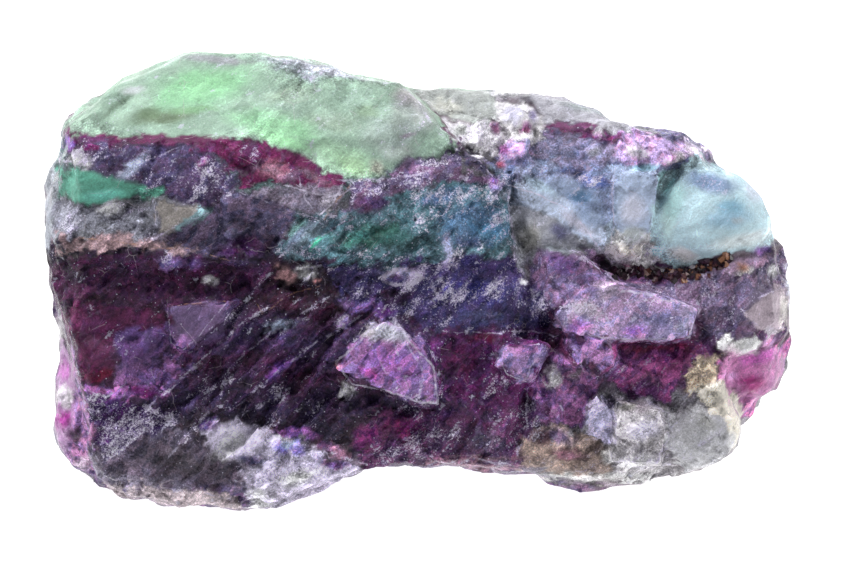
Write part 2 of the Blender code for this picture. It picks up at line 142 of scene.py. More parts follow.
# %% Cut the plates
PLATES = {
    "long crystal plate": (
        [(13.6, -3.4), (14.6, -5.2), (17.0, -5.9), (24.2, -6.1), (27.1, -5.7), (27.9, -3.0),
         (24.0, -1.4), (19.6, -0.6), (15.8, -1.2)],
        -6.5, -1.9, (-0.05, 0.1),
    ),
    "broken lilac plate": (
        [(-8.2, -8.8), (-5.2, -10.2), (-1.0, -12.2), (1.6, -12.4), (1.8, -10.4), (0.6, -7.2),
         (-1.4, -5.2), (-3.4, -4.2), (-6.2, -5.8)],
        -5.0, 0.3, (0.02, 0.14),
    ),
    "beige triangle": (
        [(-26.5, 8.3), (-26.2, 4.9), (-23.2, 5.7), (-21.2, 6.8)],
        -3.0, 1.15, (0.05, 0.1),
    ),
    "lilac wedge": (
        [(-25.3, -2.6), (-24.7, -6.5), (-23.5, -7.1), (-20.9, -4.9), (-18.1, -2.3)],
        -4.0, 0.2, (-0.06, 0.12),
    ),
    "small pale chip": (
        [(7.6, -8.6), (9.2, -10.0), (11.2, -10.2), (12.5, -7.8), (11.9, -6.3), (9.0, -6.4)],
        -5.0, -0.9, (-0.05, 0.2),
    ),
    "rose crystal": (
        [(14.8, -6.6), (17.4, -10.0), (19.6, -8.8), (19.8, -6.2)],
        -7.0, -2.9, (-0.1, 0.2),
    ),
    "lilac grey chip": (
        [(16.3, -15.8), (18.9, -16.2), (19.3, -13.2), (17.9, -11.6), (16.6, -13.0)],
        -9.0, -4.5, (0.1, 0.3),
    ),
    "clear grey block": (
        [(19.4, -18.4), (24.4, -18.6), (25.0, -15.6), (24.4, -13.2), (19.6, -11.9)],
        -10.0, -4.7, (-0.04, 0.3),
    ),
    "middle panel": (
        [(19.5, 4.4), (23.2, 3.8), (24.1, 10.8), (19.6, 11.2)],
        -7.5, -3.5, (-0.06, 0.08),
    ),
    "glassy facet": (
        [(-16.8, 8.4), (-9.3, 6.2), (-7.4, 9.4), (-12.2, 9.7)],
        -2.5, 1.35, (0.02, 0.05),
    ),
    "violet beak": (
        [(12.2, -3.0), (19.9, -1.9), (19.0, 0.2), (16.6, 2.6), (12.9, 3.2)],
        -7.0, -2.7, (-0.1, 0.12),
    ),
    "beige side facet": (
        [(32.2, -3.3), (34.8, -5.3), (36.2, -4.4), (35.9, -0.9)],
        -10.0, -5.9, (-0.35, 0.1),
    ),
}


def cut_block(place, outward):
    """Cuts the block being edited by a plane, given on the face, and keeps what lies behind it."""
    on_part = FACE_TO_PART @ Vector(place)
    way_out = (FACE_TO_PART.to_3x3() @ Vector(outward)).normalized()
    bpy.ops.mesh.select_all(action="SELECT")
    bpy.ops.mesh.bisect(plane_co=on_part, plane_no=way_out, use_fill=True, clear_outer=True)


BLOCK_SIZE = 60
SIDE_LEAN = 0.12


def crystal_plate(name, outline, underside, height, climb):
    """A block cut to the outline, with a top that climbs along u and v."""
    deselect_all()
    bpy.ops.mesh.primitive_cube_add(size=BLOCK_SIZE)
    block = bpy.context.active_object
    block.name = name
    middle = Vector(outline[0]).lerp(Vector(outline[len(outline) // 2]), 0.5)
    block.matrix_world = FACE_TO_PART @ Matrix.Translation((*middle, underside + BLOCK_SIZE / 2))
    bpy.ops.object.transform_apply(location=True, rotation=True, scale=True)
    bpy.ops.object.mode_set(mode="EDIT")
    for start, end in zip(outline, outline[1:] + outline[:1]):
        side = Vector(end) - Vector(start)
        cut_block((*start, height), (side.y, -side.x, SIDE_LEAN * side.length))
    cut_block((*middle, height), (-climb[0], -climb[1], 1.0))
    bpy.ops.object.mode_set(mode="OBJECT")
    return block


plates = [crystal_plate(name, *shape) for name, shape in PLATES.items()]
print(len(plates), "plates, the largest with", max(len(p.data.polygons) for p in plates), "faces")

# %% [markdown]
# ## Crumbled corners
#
# Where the crystals were crushed, the break is a heap of small blocks that all point different
# ways. One cube is cleaved at a corner, as fluorite likes to break, and its copies are turned and
# sunk half into the stone. A ray from the eye finds how deep the surface lies under each one.

# %% Scatter the crumbs
CRUMBLES = {
    "white crumble at the rear": ((9.8, 16.2), (2.4, 1.8), 20, 0.95),
    "pink crumble at the rear": ((9.4, 13.2), (1.8, 1.0), 12, 0.8),
    "pink cluster": ((23.6, 13.2), (3.4, 1.2), 22, 0.95),
    "rear corner": ((27.6, 12.6), (1.2, 0.8), 8, 0.8),
    "white gap beside the knob": ((8.2, 9.6), (1.2, 1.8), 12, 0.7),
    "dark knob": ((5.4, 11.6), (1.6, 1.0), 12, 0.7),
    "vein": ((18.8, 3.6), (1.8, 1.2), 12, 0.7),
    "tan crumble": ((28.4, -9.4), (1.8, 1.6), 22, 0.7),
    "cream edge": ((30.6, -13.6), (1.0, 3.4), 20, 0.8),
    "grey block": ((21.8, -15.4), (2.4, 2.4), 14, 1.0),
    "mauve blocks": ((13.4, -11.2), (2.0, 3.0), 16, 1.1),
    "rose blocks": ((17.4, -8.2), (1.8, 1.2), 10, 0.9),
    "plate rim": ((-6.8, -9.8), (1.6, 1.4), 10, 0.7),
    "white foot": ((-13.4, -18.8), (5.0, 1.8), 26, 0.95),
    "ridge": ((11.6, -3.0), (0.9, 4.0), 14, 0.7),
    "left corner": ((-35.2, -12.4), (0.9, 2.6), 14, 0.9),
    "orange corner": ((-12.6, 0.6), (2.2, 0.9), 14, 0.6),
    "white crust": ((-24.4, 1.6), (2.0, 0.7), 10, 0.6),
    "ring crust": ((-2.0, 0.2), (2.2, 0.9), 14, 0.55),
}


def eye_ray(tree, u, v):
    """Where the eye's line of sight through (u, v) meets the surface, and the surface's normal."""
    eye = FACE_TO_PART @ Vector((0, 0, EYE_DISTANCE))
    aim = FACE_TO_PART @ Vector((u, v, 0))
    hit, normal, _, _ = tree.ray_cast(eye, (aim - eye).normalized())
    return hit, normal


def cleaved_cube():
    """A small cube with one corner cleaved off."""
    deselect_all()
    bpy.ops.mesh.primitive_cube_add(size=2)
    cube = bpy.context.active_object
    bpy.ops.object.mode_set(mode="EDIT")
    bpy.ops.mesh.select_all(action="SELECT")
    bpy.ops.mesh.bisect(
        plane_co=(0.5, 0.5, 0.5), plane_no=(1, 1, 1), use_fill=True, clear_outer=True
    )
    bpy.ops.object.mode_set(mode="OBJECT")
    return cube


def turned_copy(source, place, half_size, name):
    """A copy with its own mesh, turned at random, at a place of the part."""
    turn = Vector(random.uniform(-1, 1, 3)).to_track_quat("Z", "Y").to_matrix().to_4x4()
    spin = Matrix.Rotation(random.uniform(0, math.pi), 4, "Z")
    stretch = Matrix.Diagonal((*random.uniform(0.7, 1.3, 3) * half_size * MM, 1))
    copy = bpy.data.objects.new(name, source.data.copy())
    copy.data.transform(Matrix.Translation(place) @ turn @ spin @ stretch)
    bpy.context.scene.collection.objects.link(copy)
    return copy


CRUMB_SUNK = 0.45

surface = BVHTree.FromObject(stone, bpy.context.evaluated_depsgraph_get())
one_crumb = cleaved_cube()
crumbs = []
for name, (middle, reach, count, half_size) in CRUMBLES.items():
    for _ in range(count):
        offset = np.clip(random.normal(0, 0.5, 2), -1, 1) * reach
        hit, normal = eye_ray(surface, middle[0] + offset[0], middle[1] + offset[1])
        if hit:
            sunk = hit - normal * CRUMB_SUNK * half_size * MM
            crumbs.append(turned_copy(one_crumb, sunk, half_size * random.uniform(0.6, 1.0), name))
bpy.data.objects.remove(one_crumb)
print(len(crumbs), "crumbs")

# %% [markdown]
# ## One skin
#
# The plates and crumbs have grown on the stone, so they must not stay loose pieces. They are joined
# to it, and a voxel Remesh then draws one closed skin round everything, in cells fine enough for
# the edges to stay crisp.

# %% Join and fuse
SKIN_CELL = 0.00028

deselect_all()
for piece in [*plates, *crumbs, stone]:
    piece.select_set(True)
bpy.context.view_layer.objects.active = stone
bpy.ops.object.join()
fuse = stone.modifiers.new("Fuse", "REMESH")
fuse.mode = "VOXEL"
fuse.voxel_size = SKIN_CELL
bpy.ops.object.modifier_apply(modifier=fuse.name)
print("Fused skin:", len(stone.data.vertices), "points")

# %% [markdown]
# ## The broken surface
#
# A break in fluorite is never smooth. It is made of small flat facets, each tilted its own way,
# with long splinters where the crystal was sheared. Cells of a Voronoi pattern give the facets:
# inside one cell the surface is a tilted plane. The lower left was sheared from the lower left to
# the upper right, so the cells there are stretched that way. The green cap, the blue nodule and
# the plates cleaved clean, and keep little of it.

# %% Where the break is calm
SHEAR_TURN = math.radians(47)
CALM_PLACES = {
    "green cap, left": ((-24, 18.5), (11, 5.0), 0.2, 0.24),
    "green cap, right": ((-6, 15.5), (10, 4.6), 0.25, 0.34),
    "emerald patch": ((-32, 9.2), (4, 2.0), 0.35, 0.35),
    "blue nodule": ((29.3, 6), (6.2, 5.2), 0.2, 0.2),
    "long crystal plate": ((21, -3.3), (7.2, 2.8), 0.35, 1.0),
    "middle panel": ((21.6, 7.4), (2.4, 3.8), 0.35, 0.3),
    "rear strip": ((14, 17), (8, 2.0), 0.7, 0.4),
    "pale rear": ((4, 17.6), (4, 2.0), 0.5, 0.35),
    "lilac wedge": ((-22.2, -4.2), (3.2, 2.4), 0.25, 0.5),
    "lilac plate": ((-3, -8.4), (4.6, 4.0), 0.55, 0.9),
    "left block": ((-30, -6), (4.6, 3.4), 0.5, 0.7),
    "beige triangle": ((-24.6, 6.6), (2.6, 1.8), 0.25, 0.5),
    "boulder": ((27.6, -15.6), (3.0, 3.2), 0.35, 0.55),
    "cream edge": ((30.8, -13.6), (1.6, 3.6), 0.6, 0.3),
    "right lobe": ((33, -9), (3.4, 3.4), 0.4, 0.5),
    "beige side facet": ((34.6, -2.8), (2.0, 2.4), 0.4, 0.4),
    "left rim": ((-38, 4), (1.4, 9), 0.4, 0.4),
    "left lobe": ((-36.2, -11), (1.8, 7.5), 0.5, 0.4),
    "seam": ((-27, 14.5), (9, 1.1), 0.4, 0.8),
    "right of the ridge": ((14.2, 6.2), (4.8, 4.2), 0.5, 0.4),
    "white foot": ((-18.6, -16.2), (3.4, 2.2), 0.6, 0.6),
}


def smooth_step(low, high, values):
    """0 below low, 1 above high, with a soft change between them."""
    share = np.clip((values - low) / (high - low), 0, 1)
    return share * share * (3 - 2 * share)


def calm_shares(seen):
    """The shares of relief and of contrast that the calm places leave."""
    kept = np.ones((len(seen), 2))
    for middle, reach, relief, contrast in CALM_PLACES.values():
        distance = np.linalg.norm((seen - middle) / reach, axis=1)
        edge = smooth_step(0.75, 1.15, distance)[:, None]
        kept = np.minimum(kept, edge + (1 - edge) * np.array([relief, contrast]))
    return kept[:, 0], kept[:, 1]


print(len(CALM_PLACES), "calm places")

# %% Facets and splinters
def rows_of(items, field):
    """One vector of each item of a mesh, as rows of three numbers."""
    values = np.empty(len(items) * 3, dtype=np.float32)
    items.foreach_get(field, values)
    return values.reshape(-1, 3).astype(float)


def points_of(mesh):
    """The places of a mesh's points."""
    return rows_of(mesh.vertices, "co")


def normals_of(mesh):
    """The normals at a mesh's points."""
    return rows_of(mesh.vertex_normals, "vector")


def neighbour_mean(mesh, values):
    """For each point, the mean of the values at the points that share an edge with it."""
    ends = np.empty(len(mesh.edges) * 2, dtype=np.int32)
    mesh.edges.foreach_get("vertices", ends)
    first, second = ends[0::2], ends[1::2]
    count = len(mesh.vertices)
    shared = np.bincount(first, minlength=count) + np.bincount(second, minlength=count)
    columns = values.reshape(count, -1).T
    sums = [
        np.bincount(first, column[second], count) + np.bincount(second, column[first], count)
        for column in columns
    ]
    return (np.array(sums) / np.maximum(shared, 1)).T.reshape(values.shape)


SMOOTHINGS = 12


def facing_eye(mesh):
    """How much the stone's broad side at each point faces the eye: 1 towards it, below 0 away."""
    broad_normals = normals_of(mesh)
    for _ in range(SMOOTHINGS):
        broad_normals = neighbour_mean(mesh, broad_normals)
    broad_normals /= np.maximum(np.linalg.norm(broad_normals, axis=1, keepdims=True), 1e-6)
    to_eye = np.array(FACE_TO_PART @ Vector((0, 0, EYE_DISTANCE))) - points_of(mesh)
    to_eye /= np.linalg.norm(to_eye, axis=1, keepdims=True)
    return np.sum(broad_normals * to_eye, axis=1)


def facets(places, size, seed):
    """Height of flat facets, a tilted plane in each cell, and three random numbers per cell."""
    heights = np.empty(len(places))
    chances = np.empty((len(places), 3))
    shift = Vector((seed, seed, seed))
    ones = Vector((1, 1, 1))
    for index, place in enumerate(places):
        scaled = Vector(place) / size + shift
        middle = noise.voronoi(scaled)[1][0]
        chance = noise.cell_vector(middle * 31.7) * 2 - ones
        heights[index] = (scaled - middle).dot(chance) + 0.3 * chance.z
        chances[index] = chance
    return heights, chances


def noise_field(places, size, seed):
    """A smooth random value for each place."""
    shift = Vector((seed, seed, seed))
    return np.array([noise.noise(Vector(place) / size + shift) for place in places])


def along_and_across(places, angle):
    """How far each place lies along a direction at this angle on the face, and across it."""
    along = places[:, 0] * math.cos(angle) + places[:, 1] * math.sin(angle)
    across = places[:, 1] * math.cos(angle) - places[:, 0] * math.sin(angle)
    return along, across


def sheared(places, stretch):
    """The places turned into the shear's direction and squeezed along it, which stretches cells."""
    along, across = along_and_across(places, SHEAR_TURN)
    return np.column_stack((along / stretch, across, places[:, 2]))


LARGE_FACETS, LONG_FACETS, SMALL_FACETS = (2.7, 0), (1.25, 20), (1.0, 40)
SPLINTER_STRETCH = 2.6


def shear_share(seen):
    """1 in the sheared lower left, 0 in the rest."""
    return smooth_step(14, 2, seen[:, 0]) * smooth_step(13, 4, seen[:, 1])


def rib_rise(places):
    """How far each place rises on the long ribs of the lower left, from -0.5 to 0.5."""
    splinters, seen = sheared(places, SPLINTER_STRETCH), as_seen(places)
    zone = smooth_step(-28.5, -24, seen[:, 0]) * smooth_step(3, -4, seen[:, 0])
    zone *= smooth_step(1, -3, seen[:, 1]) * smooth_step(-16, -12, seen[:, 1])
    rise = (splinters[:, 1] + 1.6 * noise_field(places, 4, 3)) / 1.5 % 1 - 0.5
    return rise * zone


skin = stone.data
places = on_face(points_of(skin))
seen = as_seen(places)
shear = shear_share(seen)
relief = calm_shares(seen)[0]
relief *= 0.35 + 0.65 * smooth_step(0.05, 0.5, facing_eye(skin))
splinters = sheared(places, SPLINTER_STRETCH)
large_height = facets(places, *LARGE_FACETS)[0]
long_height = facets(splinters, *LONG_FACETS)[0]
small_height = facets(places, *SMALL_FACETS)[0]
height = 0.36 * large_height * (1 - shear) + 0.4 * long_height * shear + 0.17 * small_height
height = relief * (height - 0.1) + 0.42 * rib_rise(places) * relief
height += 0.1 * noise_field(sheared(places, 4), 1.6, 7)
moved = points_of(skin) + normals_of(skin) * height[:, None] * MM
print("Facets move the skin by", round(height.min(), 2), "to", round(height.max(), 2), "mm")

# %% [markdown]
# The stone must stay inside the plain solid's box and lie flat, so the base is pressed level again
# and nothing passes the box.

# %% Keep the base flat and the size true
low, high = np.array(cad_box[0]), np.array(cad_box[1])
BASE_DEPTH = 0.00025
moved[points_of(skin)[:, 2] < BASE_DEPTH, 2] = low[2]
moved = np.clip(moved, low, high)
skin.vertices.foreach_set("co", moved.astype(np.float32).ravel())
skin.update()
print("Dressed stone from", moved.min(0), "to", moved.max(0))

# %% [markdown]
# The eye rests on the broad face, and the sides and the base need less. A Decimate modifier thins
# the skin there alone: its vertex group holds the points whose side of the stone the eye over the
# face doesn't see. The broad face keeps every point for its colours.

# %% Thin the sides and the base
MOST_TRIANGLES = 190000


def triangle_count(mesh):
    """How many triangles a mesh has once its faces are split."""
    return sum(len(face.vertices) - 2 for face in mesh.polygons)


unseen = stone.vertex_groups.new(name="unseen")
unseen.add(np.flatnonzero(facing_eye(skin) < 0.1).tolist(), 1.0, "REPLACE")
triangles = triangle_count(skin)
thin = stone.modifiers.new("Thin", "DECIMATE")
thin.ratio = min(1.0, MOST_TRIANGLES / triangles)
thin.vertex_group = unseen.name
bpy.ops.object.modifier_apply(modifier=thin.name)
stone.vertex_groups.clear()
skin = stone.data
print("Skin thinned from", triangles, "to", triangle_count(skin), "triangles")

# %% [markdown]
# ## The coloured patches
#
# Each patch is an outline or a spot on the broad face, with one colour, a softness of its edge and
# the share of white frost that lies on it. They are painted one over the other, large ones first.
# The borders are torn by noise, because a flat outline would look like a sticker. The values are
# stored on the mesh's points, so the material can read them.

# %% Patches with outlines: colour, frost, softness, outline
PALE = (246, 246, 246)
AREAS = {
    "green cap": ((158, 187, 168), 0.3, 0.35, [
        (-37, 14.9), (-33, 18.5), (-28, 21.5), (-23, 24), (-10, 23), (-2, 20.5), (1.2, 16.7),
        (3.6, 13.3), (3.4, 12.4), (0, 12.4), (-1.8, 12), (-3.6, 10.6), (-6.2, 9.9), (-8, 10.4),
        (-11.4, 12.1), (-14, 13.1), (-17.2, 14), (-20.7, 14.2), (-27.3, 14), (-37, 13.9)]),
    "wine seam": ((100, 32, 80), 0.1, 0.25, [
        (-37, 14.5), (-32.1, 14.3), (-27.3, 14.5), (-20.7, 14.7), (-17.2, 14), (-14, 13.1),
        (-11.3, 12.2), (-7.3, 10.1), (-8.7, 9.4), (-11.3, 9.1), (-12.4, 9.6), (-16.7, 9.1),
        (-18.3, 9.3), (-18.5, 10.7), (-19.6, 12.2), (-20.9, 13.2), (-24.7, 13.5), (-30, 13.7),
        (-32.7, 13.2), (-35.1, 13.4)]),
    "dark violet band": ((76, 66, 94), 0.5, 0.5, [
        (-34, 13.3), (-30, 13.7), (-24.7, 13.4), (-20.9, 13.2), (-18.8, 11.2), (-18.3, 9.2),
        (-20.9, 6.9), (-24.7, 8), (-26.5, 9.1), (-29.2, 10.1), (-33, 10.8)]),
    "emerald patch": ((104, 178, 156), 0.1, 0.4, [
        (-36.8, 10.9), (-33.5, 11.2), (-30.5, 10.2), (-27.3, 9.7), (-25.4, 9.4), (-26.5, 8.5),
        (-29.2, 8), (-32.7, 7.5), (-36.5, 8)]),
    "olive facets": ((138, 139, 151), 0.55, 0.4, [
        (-36.8, 8.2), (-32.7, 7.3), (-30, 7.2), (-26.5, 8), (-26.3, 4.8), (-27.9, 4),
        (-30.5, 4.3), (-36.8, 3.8)]),
    "slate facets": ((97, 91, 113), 0.3, 0.4, [
        (-18.5, 9.1), (-16.1, 8.4), (-11.9, 6.6), (-14, 4.5), (-15.1, 2.7), (-19.3, 2.7),
        (-24, 2.7), (-26.3, 3.7), (-23.4, 5.6), (-20.7, 6.9)]),
    "beige triangle": ((154, 148, 144), 0.2, 0.15, [
        (-26.5, 8.2), (-21.3, 6.9), (-23.1, 5.8), (-26.1, 4.8)]),
    "green thread": ((127, 158, 165), 0.15, 0.2, [
        (-24.8, 5.0), (-24.5, 5.7), (-21.1, 7.3), (-20.6, 6.7)]),
    "glassy facet": ((135, 128, 146), 0.2, 0.2, [
        (-12.4, 9.6), (-7.3, 9.6), (-9.2, 6.1), (-14.5, 7.5), (-17.7, 8.4)]),
    "peach strip": ((178, 148, 154), 0.3, 0.25, [
        (-36.4, 4.3), (-30.7, 4.6), (-27.9, 4.3), (-24.5, 3.5), (-21.5, 3.0), (-24.5, 2.8),
        (-28, 3.3), (-31, 2.9), (-36.2, 2.7)]),
    "black band": ((70, 35, 67), 0.3, 0.4, [
        (-37, 1.8), (-31.3, 2.3), (-26, 2.9), (-21.5, 2.5), (-16.1, 1.8), (-14.6, 0.5),
        (-15.3, -1.5), (-18.8, -2.5), (-25.2, -2.6), (-31.3, -2.2), (-37, -2.7)]),
    "teal window": ((84, 122, 132), 0.7, 0.5, [
        (-15.1, 2.7), (-11.9, 6.5), (-8.7, 6.4), (-4.7, 7.6), (-0.7, 9), (3.3, 9.9), (6.8, 9.4),
        (8.7, 7.1), (9.3, 3.9), (8.7, 2.3), (3.3, 2.5), (-3.3, 1.3), (-8.7, 1.7), (-12.3, 1.9)]),
    "grainy violet": ((108, 92, 118), 0.8, 0.4, [
        (-7.2, 9.5), (-3.5, 10.5), (-1.4, 12.1), (3.4, 12.3), (7, 10.2), (6.8, 9.4),
        (3.3, 9.9), (-0.7, 9), (-4.7, 7.5), (-7.6, 6.5)]),
    "dark knob": ((94, 91, 98), 0.35, 0.2, [
        (3.5, 13), (5.2, 13.1), (7.0, 11.8), (7.3, 10.3), (5.6, 10.3), (3.9, 11.3)]),
    "pale green rear": ((178, 183, 181), 0.3, 0.3, [
        (-2, 20.5), (7.3, 20), (8.1, 17), (7.3, 15.9), (1.7, 16.4), (0.3, 18.1)]),
    "pink beige rear": ((242, 238, 246), 0.5, 0.3, [
        (1.6, 16.3), (7.6, 15.9), (8.1, 14.1), (7.3, 11.9), (4.4, 13.2)]),
    "white crumble": ((246, 243, 246), 0.5, 0.4, [
        (7.7, 18), (10.5, 18.4), (12.4, 16.2), (11.9, 14.1), (9.7, 13.6), (8, 14.4)]),
    "hot pink crumble": ((200, 178, 213), 0.25, 0.3, [
        (7.6, 14.1), (9.6, 14), (11.2, 13.4), (10.9, 12.2), (8.7, 11.9)]),
    "pale rear strip": ((177, 176, 186), 0.4, 0.4, [
        (10.3, 19.6), (16, 19), (22, 17), (24, 15.2), (19.9, 14.8), (16.7, 15.3), (12.4, 15.9)]),
    "wine rear strip": ((112, 54, 99), 0.15, 0.25, [
        (11.9, 15.8), (16.7, 15.3), (19.9, 14.8), (21, 13.9), (17.7, 14), (14, 14.5)]),
    "grey violet rear": ((138, 137, 163), 0.4, 0.4, [
        (11.3, 14.1), (14, 14.4), (17.7, 13.9), (20.5, 13.4), (20.2, 11.7), (14, 11.2),
        (10.8, 11.9)]),
    "pink cluster": ((208, 178, 216), 0.35, 0.35, [
        (19.9, 14.8), (22.8, 15), (26.2, 14), (26.9, 12.3), (25.2, 11.6), (21.5, 12.1),
        (20, 12)]),
    "grey lilac corner": ((242, 225, 246), 0.4, 0.4, [
        (26, 14.6), (29.5, 14), (29.6, 11.7), (27, 11.8)]),
    "slate blue facets": ((161, 177, 207), 0.3, 0.4, [
        (8.9, 11.7), (19.4, 11.5), (19.4, 6), (17.7, 4.5), (14, 8.6), (10, 9.8)]),
    "pale vein": ((194, 207, 231), 0.25, 0.3, [
        (8.7, 9.6), (10.6, 9.8), (14, 8.6), (18, 5), (19, 2.7), (16.7, 3.5), (13.5, 6.2),
        (9.5, 7.9)]),
    "grey below the vein": ((158, 160, 170), 0.3, 0.4, [
        (9, 7.9), (13.5, 6.3), (17.3, 3), (15.1, 3.4), (12.9, 3.7), (10.9, 1.8), (10.6, -0.5),
        (9.5, 0.2)]),
    "middle panel": ((177, 193, 220), 0.35, 0.2, [
        (19.4, 11.4), (24.2, 11.7), (23.6, 8.5), (23.3, 4.4), (19.4, 4.6)]),
    "panel foot": ((222, 220, 222), 0.6, 0.3, [
        (19.3, 4.8), (23.4, 4.6), (24.2, 1.6), (19.6, 1), (18.3, 2.6)]),
    "blue nodule": ((198, 228, 238), 0.2, 0.25, [
        (24.8, 11), (27.9, 12), (31.5, 11.4), (33.4, 10.3), (35.5, 8.5), (36.5, 5), (35.5, 3.8),
        (30, 2.2), (26.8, 1.3), (24.1, 1.3), (23.4, 3.9), (23.3, 7.1), (23.8, 9.5)]),
    "sparkling violet": ((119, 106, 129), 0.5, 0.35, [
        (19.1, 0.4), (22.5, 0.9), (27.3, 0.3), (32.7, 1.5), (37, 3.2), (37.6, -0.3), (36, -4.4),
        (33, -5.2), (31, -6.2), (28, -5.8), (27.8, -3), (24, -1.4), (19.9, -0.6)]),
    "lilac beak": ((152, 132, 166), 0.45, 0.3, [
        (11.6, 3.2), (17, 2.9), (19.2, 0.1), (20, -1.6), (13, -2.5), (10.9, -0.6)]),
    "long crystal plate": ((171, 155, 188), 0.6, 0.15, [
        (13.6, -3.2), (14.5, -5.1), (17, -5.9), (24.1, -6.1), (27.1, -5.7), (27.9, -2.9),
        (24.4, -1.5), (19.9, -0.5), (15.6, -1.6)]),
    "beige side facet": ((185, 169, 181), 0.2, 0.2, [
        (32.1, -3), (36.2, -0.5), (36.8, -4.8), (34.8, -5.5)]),
    "white lump": (PALE, 0.4, 0.3, [
        (30, -6), (32.7, -5.3), (34.4, -6.2), (33.3, -7.6), (30.3, -7.5)]),
    "magenta lobe, right": ((204, 135, 186), 0.15, 0.3, [
        (30.2, -8), (33.6, -7.3), (37.8, -5.4), (38, -8.5), (35.5, -12), (31.6, -14),
        (30.6, -11.5)]),
    "purple wine, right": ((150, 84, 138), 0.4, 0.4, [
        (19.3, -6.2), (28, -6.1), (30.2, -7.8), (27, -8.6), (25, -12.7), (20.5, -11.8),
        (18.3, -10.1), (19.3, -7.7)]),
    "tan crumble": ((226, 206, 182), 0.45, 0.4, [
        (26.4, -8.2), (29.9, -7.6), (30.4, -10.9), (27.2, -11.2)]),
    "cream edge": ((246, 240, 226), 0.4, 0.4, [
        (27.4, -10.8), (30.5, -9.9), (33, -15.2), (31.5, -18), (29.8, -14.6)]),
    "grey boulder": ((196, 196, 200), 0.45, 0.35, [
        (24.9, -13), (27.3, -12.3), (29.8, -14), (31.4, -17.4), (29, -19.8), (26.3, -20.2),
        (24.9, -16.3)]),
    "frosty grey block": ((211, 206, 211), 0.6, 0.3, [
        (19.3, -11.6), (24.8, -13), (25.1, -16.8), (25.5, -20.2), (19.3, -20), (19.1, -15.2)]),
    "lilac grey chip": ((220, 214, 244), 0.6, 0.2, [
        (16.6, -13.1), (17.8, -11.6), (19.3, -13), (18.9, -16.1), (16.3, -15.8)]),
    "brown corner": ((182, 160, 150), 0.35, 0.4, [
        (10.3, -15), (12.9, -14), (16.2, -15.7), (18.8, -16.4), (18.8, -20), (14, -20),
        (9.7, -19)]),
    "mauve blocks": ((160, 117, 166), 0.4, 0.4, [
        (12, -7.2), (15.3, -7.8), (17.4, -10.5), (16.7, -13), (15.7, -15), (12.9, -14.1),
        (10.5, -14), (10.8, -10.9)]),
    "rose crystal": ((182, 150, 200), 0.3, 0.25, [
        (14.8, -5.9), (19.3, -6.2), (19.9, -8.3), (18, -9.9), (16.4, -8.6)]),
    "maroon panel": ((85, 34, 72), 0.15, 0.3, [
        (-36.2, -2.5), (-25.4, -2.9), (-24.9, -4.5), (-29.2, -5.1), (-30.6, -6.7),
        (-30.4, -10), (-33.4, -10.2), (-34.7, -6.7)]),
    "indigo panel": ((101, 73, 125), 0.25, 0.3, [
        (-30.3, -5.1), (-24.9, -4.4), (-24.6, -6.7), (-26.4, -7.8), (-29.2, -8.6),
        (-30.4, -7.2)]),
    "brown panel": ((116, 88, 133), 0.25, 0.3, [
        (-30.2, -8.4), (-26.3, -7.9), (-24.3, -7.4), (-22.4, -9), (-25, -10.7), (-29.8, -10.6)]),
    "lilac wedge": ((116, 94, 133), 0.25, 0.12, [
        (-25.2, -2.6), (-18.2, -2.3), (-20.9, -4.8), (-23.6, -7.1), (-24.7, -6.7)]),
    "pink streak": ((183, 125, 189), 0.35, 0.25, [
        (-33.8, -10.2), (-30.5, -10.8), (-25.4, -10.7), (-25.4, -11.4), (-29.8, -12),
        (-32.4, -11.6)]),
    "frosted lower left": ((59, 23, 79), 0.85, 0.6, [
        (-33.4, -11), (-29.2, -12), (-25.2, -13.7), (-24.6, -16.4), (-28, -17), (-30.5, -18),
        (-32.8, -16.5)]),
    "black lower left": ((110, 101, 117), 0.35, 0.5, [
        (-31, -17.4), (-28, -15.8), (-24.6, -15), (-18, -17.9), (-17.7, -20.8), (-23.1, -20.7),
        (-30, -19.7), (-31.8, -18.8)]),
    "grey brown foot": ((211, 194, 200), 0.4, 0.3, [
        (-31.5, -20.2), (-25.2, -20.8), (-19.3, -21.3), (-16.4, -24.5), (-21, -24), (-31, -23)]),
    "white foot": ((220, 212, 235), 0.6, 0.5, [
        (-22, -15), (-18.3, -13.4), (-15.1, -14.5), (-13.6, -16.2), (-10.3, -17.2),
        (-5.5, -18.2), (-8, -21), (-14, -23), (-17, -24.4), (-17.8, -20.5), (-18.2, -18.4),
        (-20.7, -16.8)]),
    "magenta lobe, left": ((186, 143, 189), 0.25, 0.3, [
        (-37, -3.6), (-36.2, -3.6), (-34.7, -7.5), (-33.8, -10.9), (-33, -14.7), (-32.6, -19),
        (-35.5, -19.5), (-38.5, -16), (-38, -8.5)]),
    "broken lilac plate": ((162, 127, 179), 0.4, 0.15, [
        (-6.4, -5.6), (-3.3, -4), (-1.2, -5.4), (0.5, -7.6), (1.8, -10.9), (1.6, -12.5),
        (-1.2, -12), (-3.3, -10.9), (-5.5, -9.9), (-8.4, -8.6), (-7.9, -7.6)]),
    "wine middle": ((92, 40, 92), 0.5, 0.5, [
        (0.2, -5.2), (12.9, -5.3), (12.4, -9), (11, -12.4), (5, -13.4), (2.2, -11.6)]),
    "violet black low": ((86, 48, 84), 0.6, 0.5, [
        (-5, -12.4), (2, -12.6), (5, -13), (11.2, -12.4), (9.8, -19.5), (-5.5, -19)]),
    "small pale chip": ((178, 157, 199), 0.4, 0.15, [
        (7.4, -8), (9.1, -6.5), (11.9, -6.3), (12.5, -7.7), (11.2, -10.2), (9.1, -10)]),
    "blue black": ((66, 60, 104), 0.75, 0.6, [
        (-10, 1.3), (-3.3, 1.2), (3.3, 2.4), (8.8, 2.2), (11.3, 0.4), (12.9, -2.4),
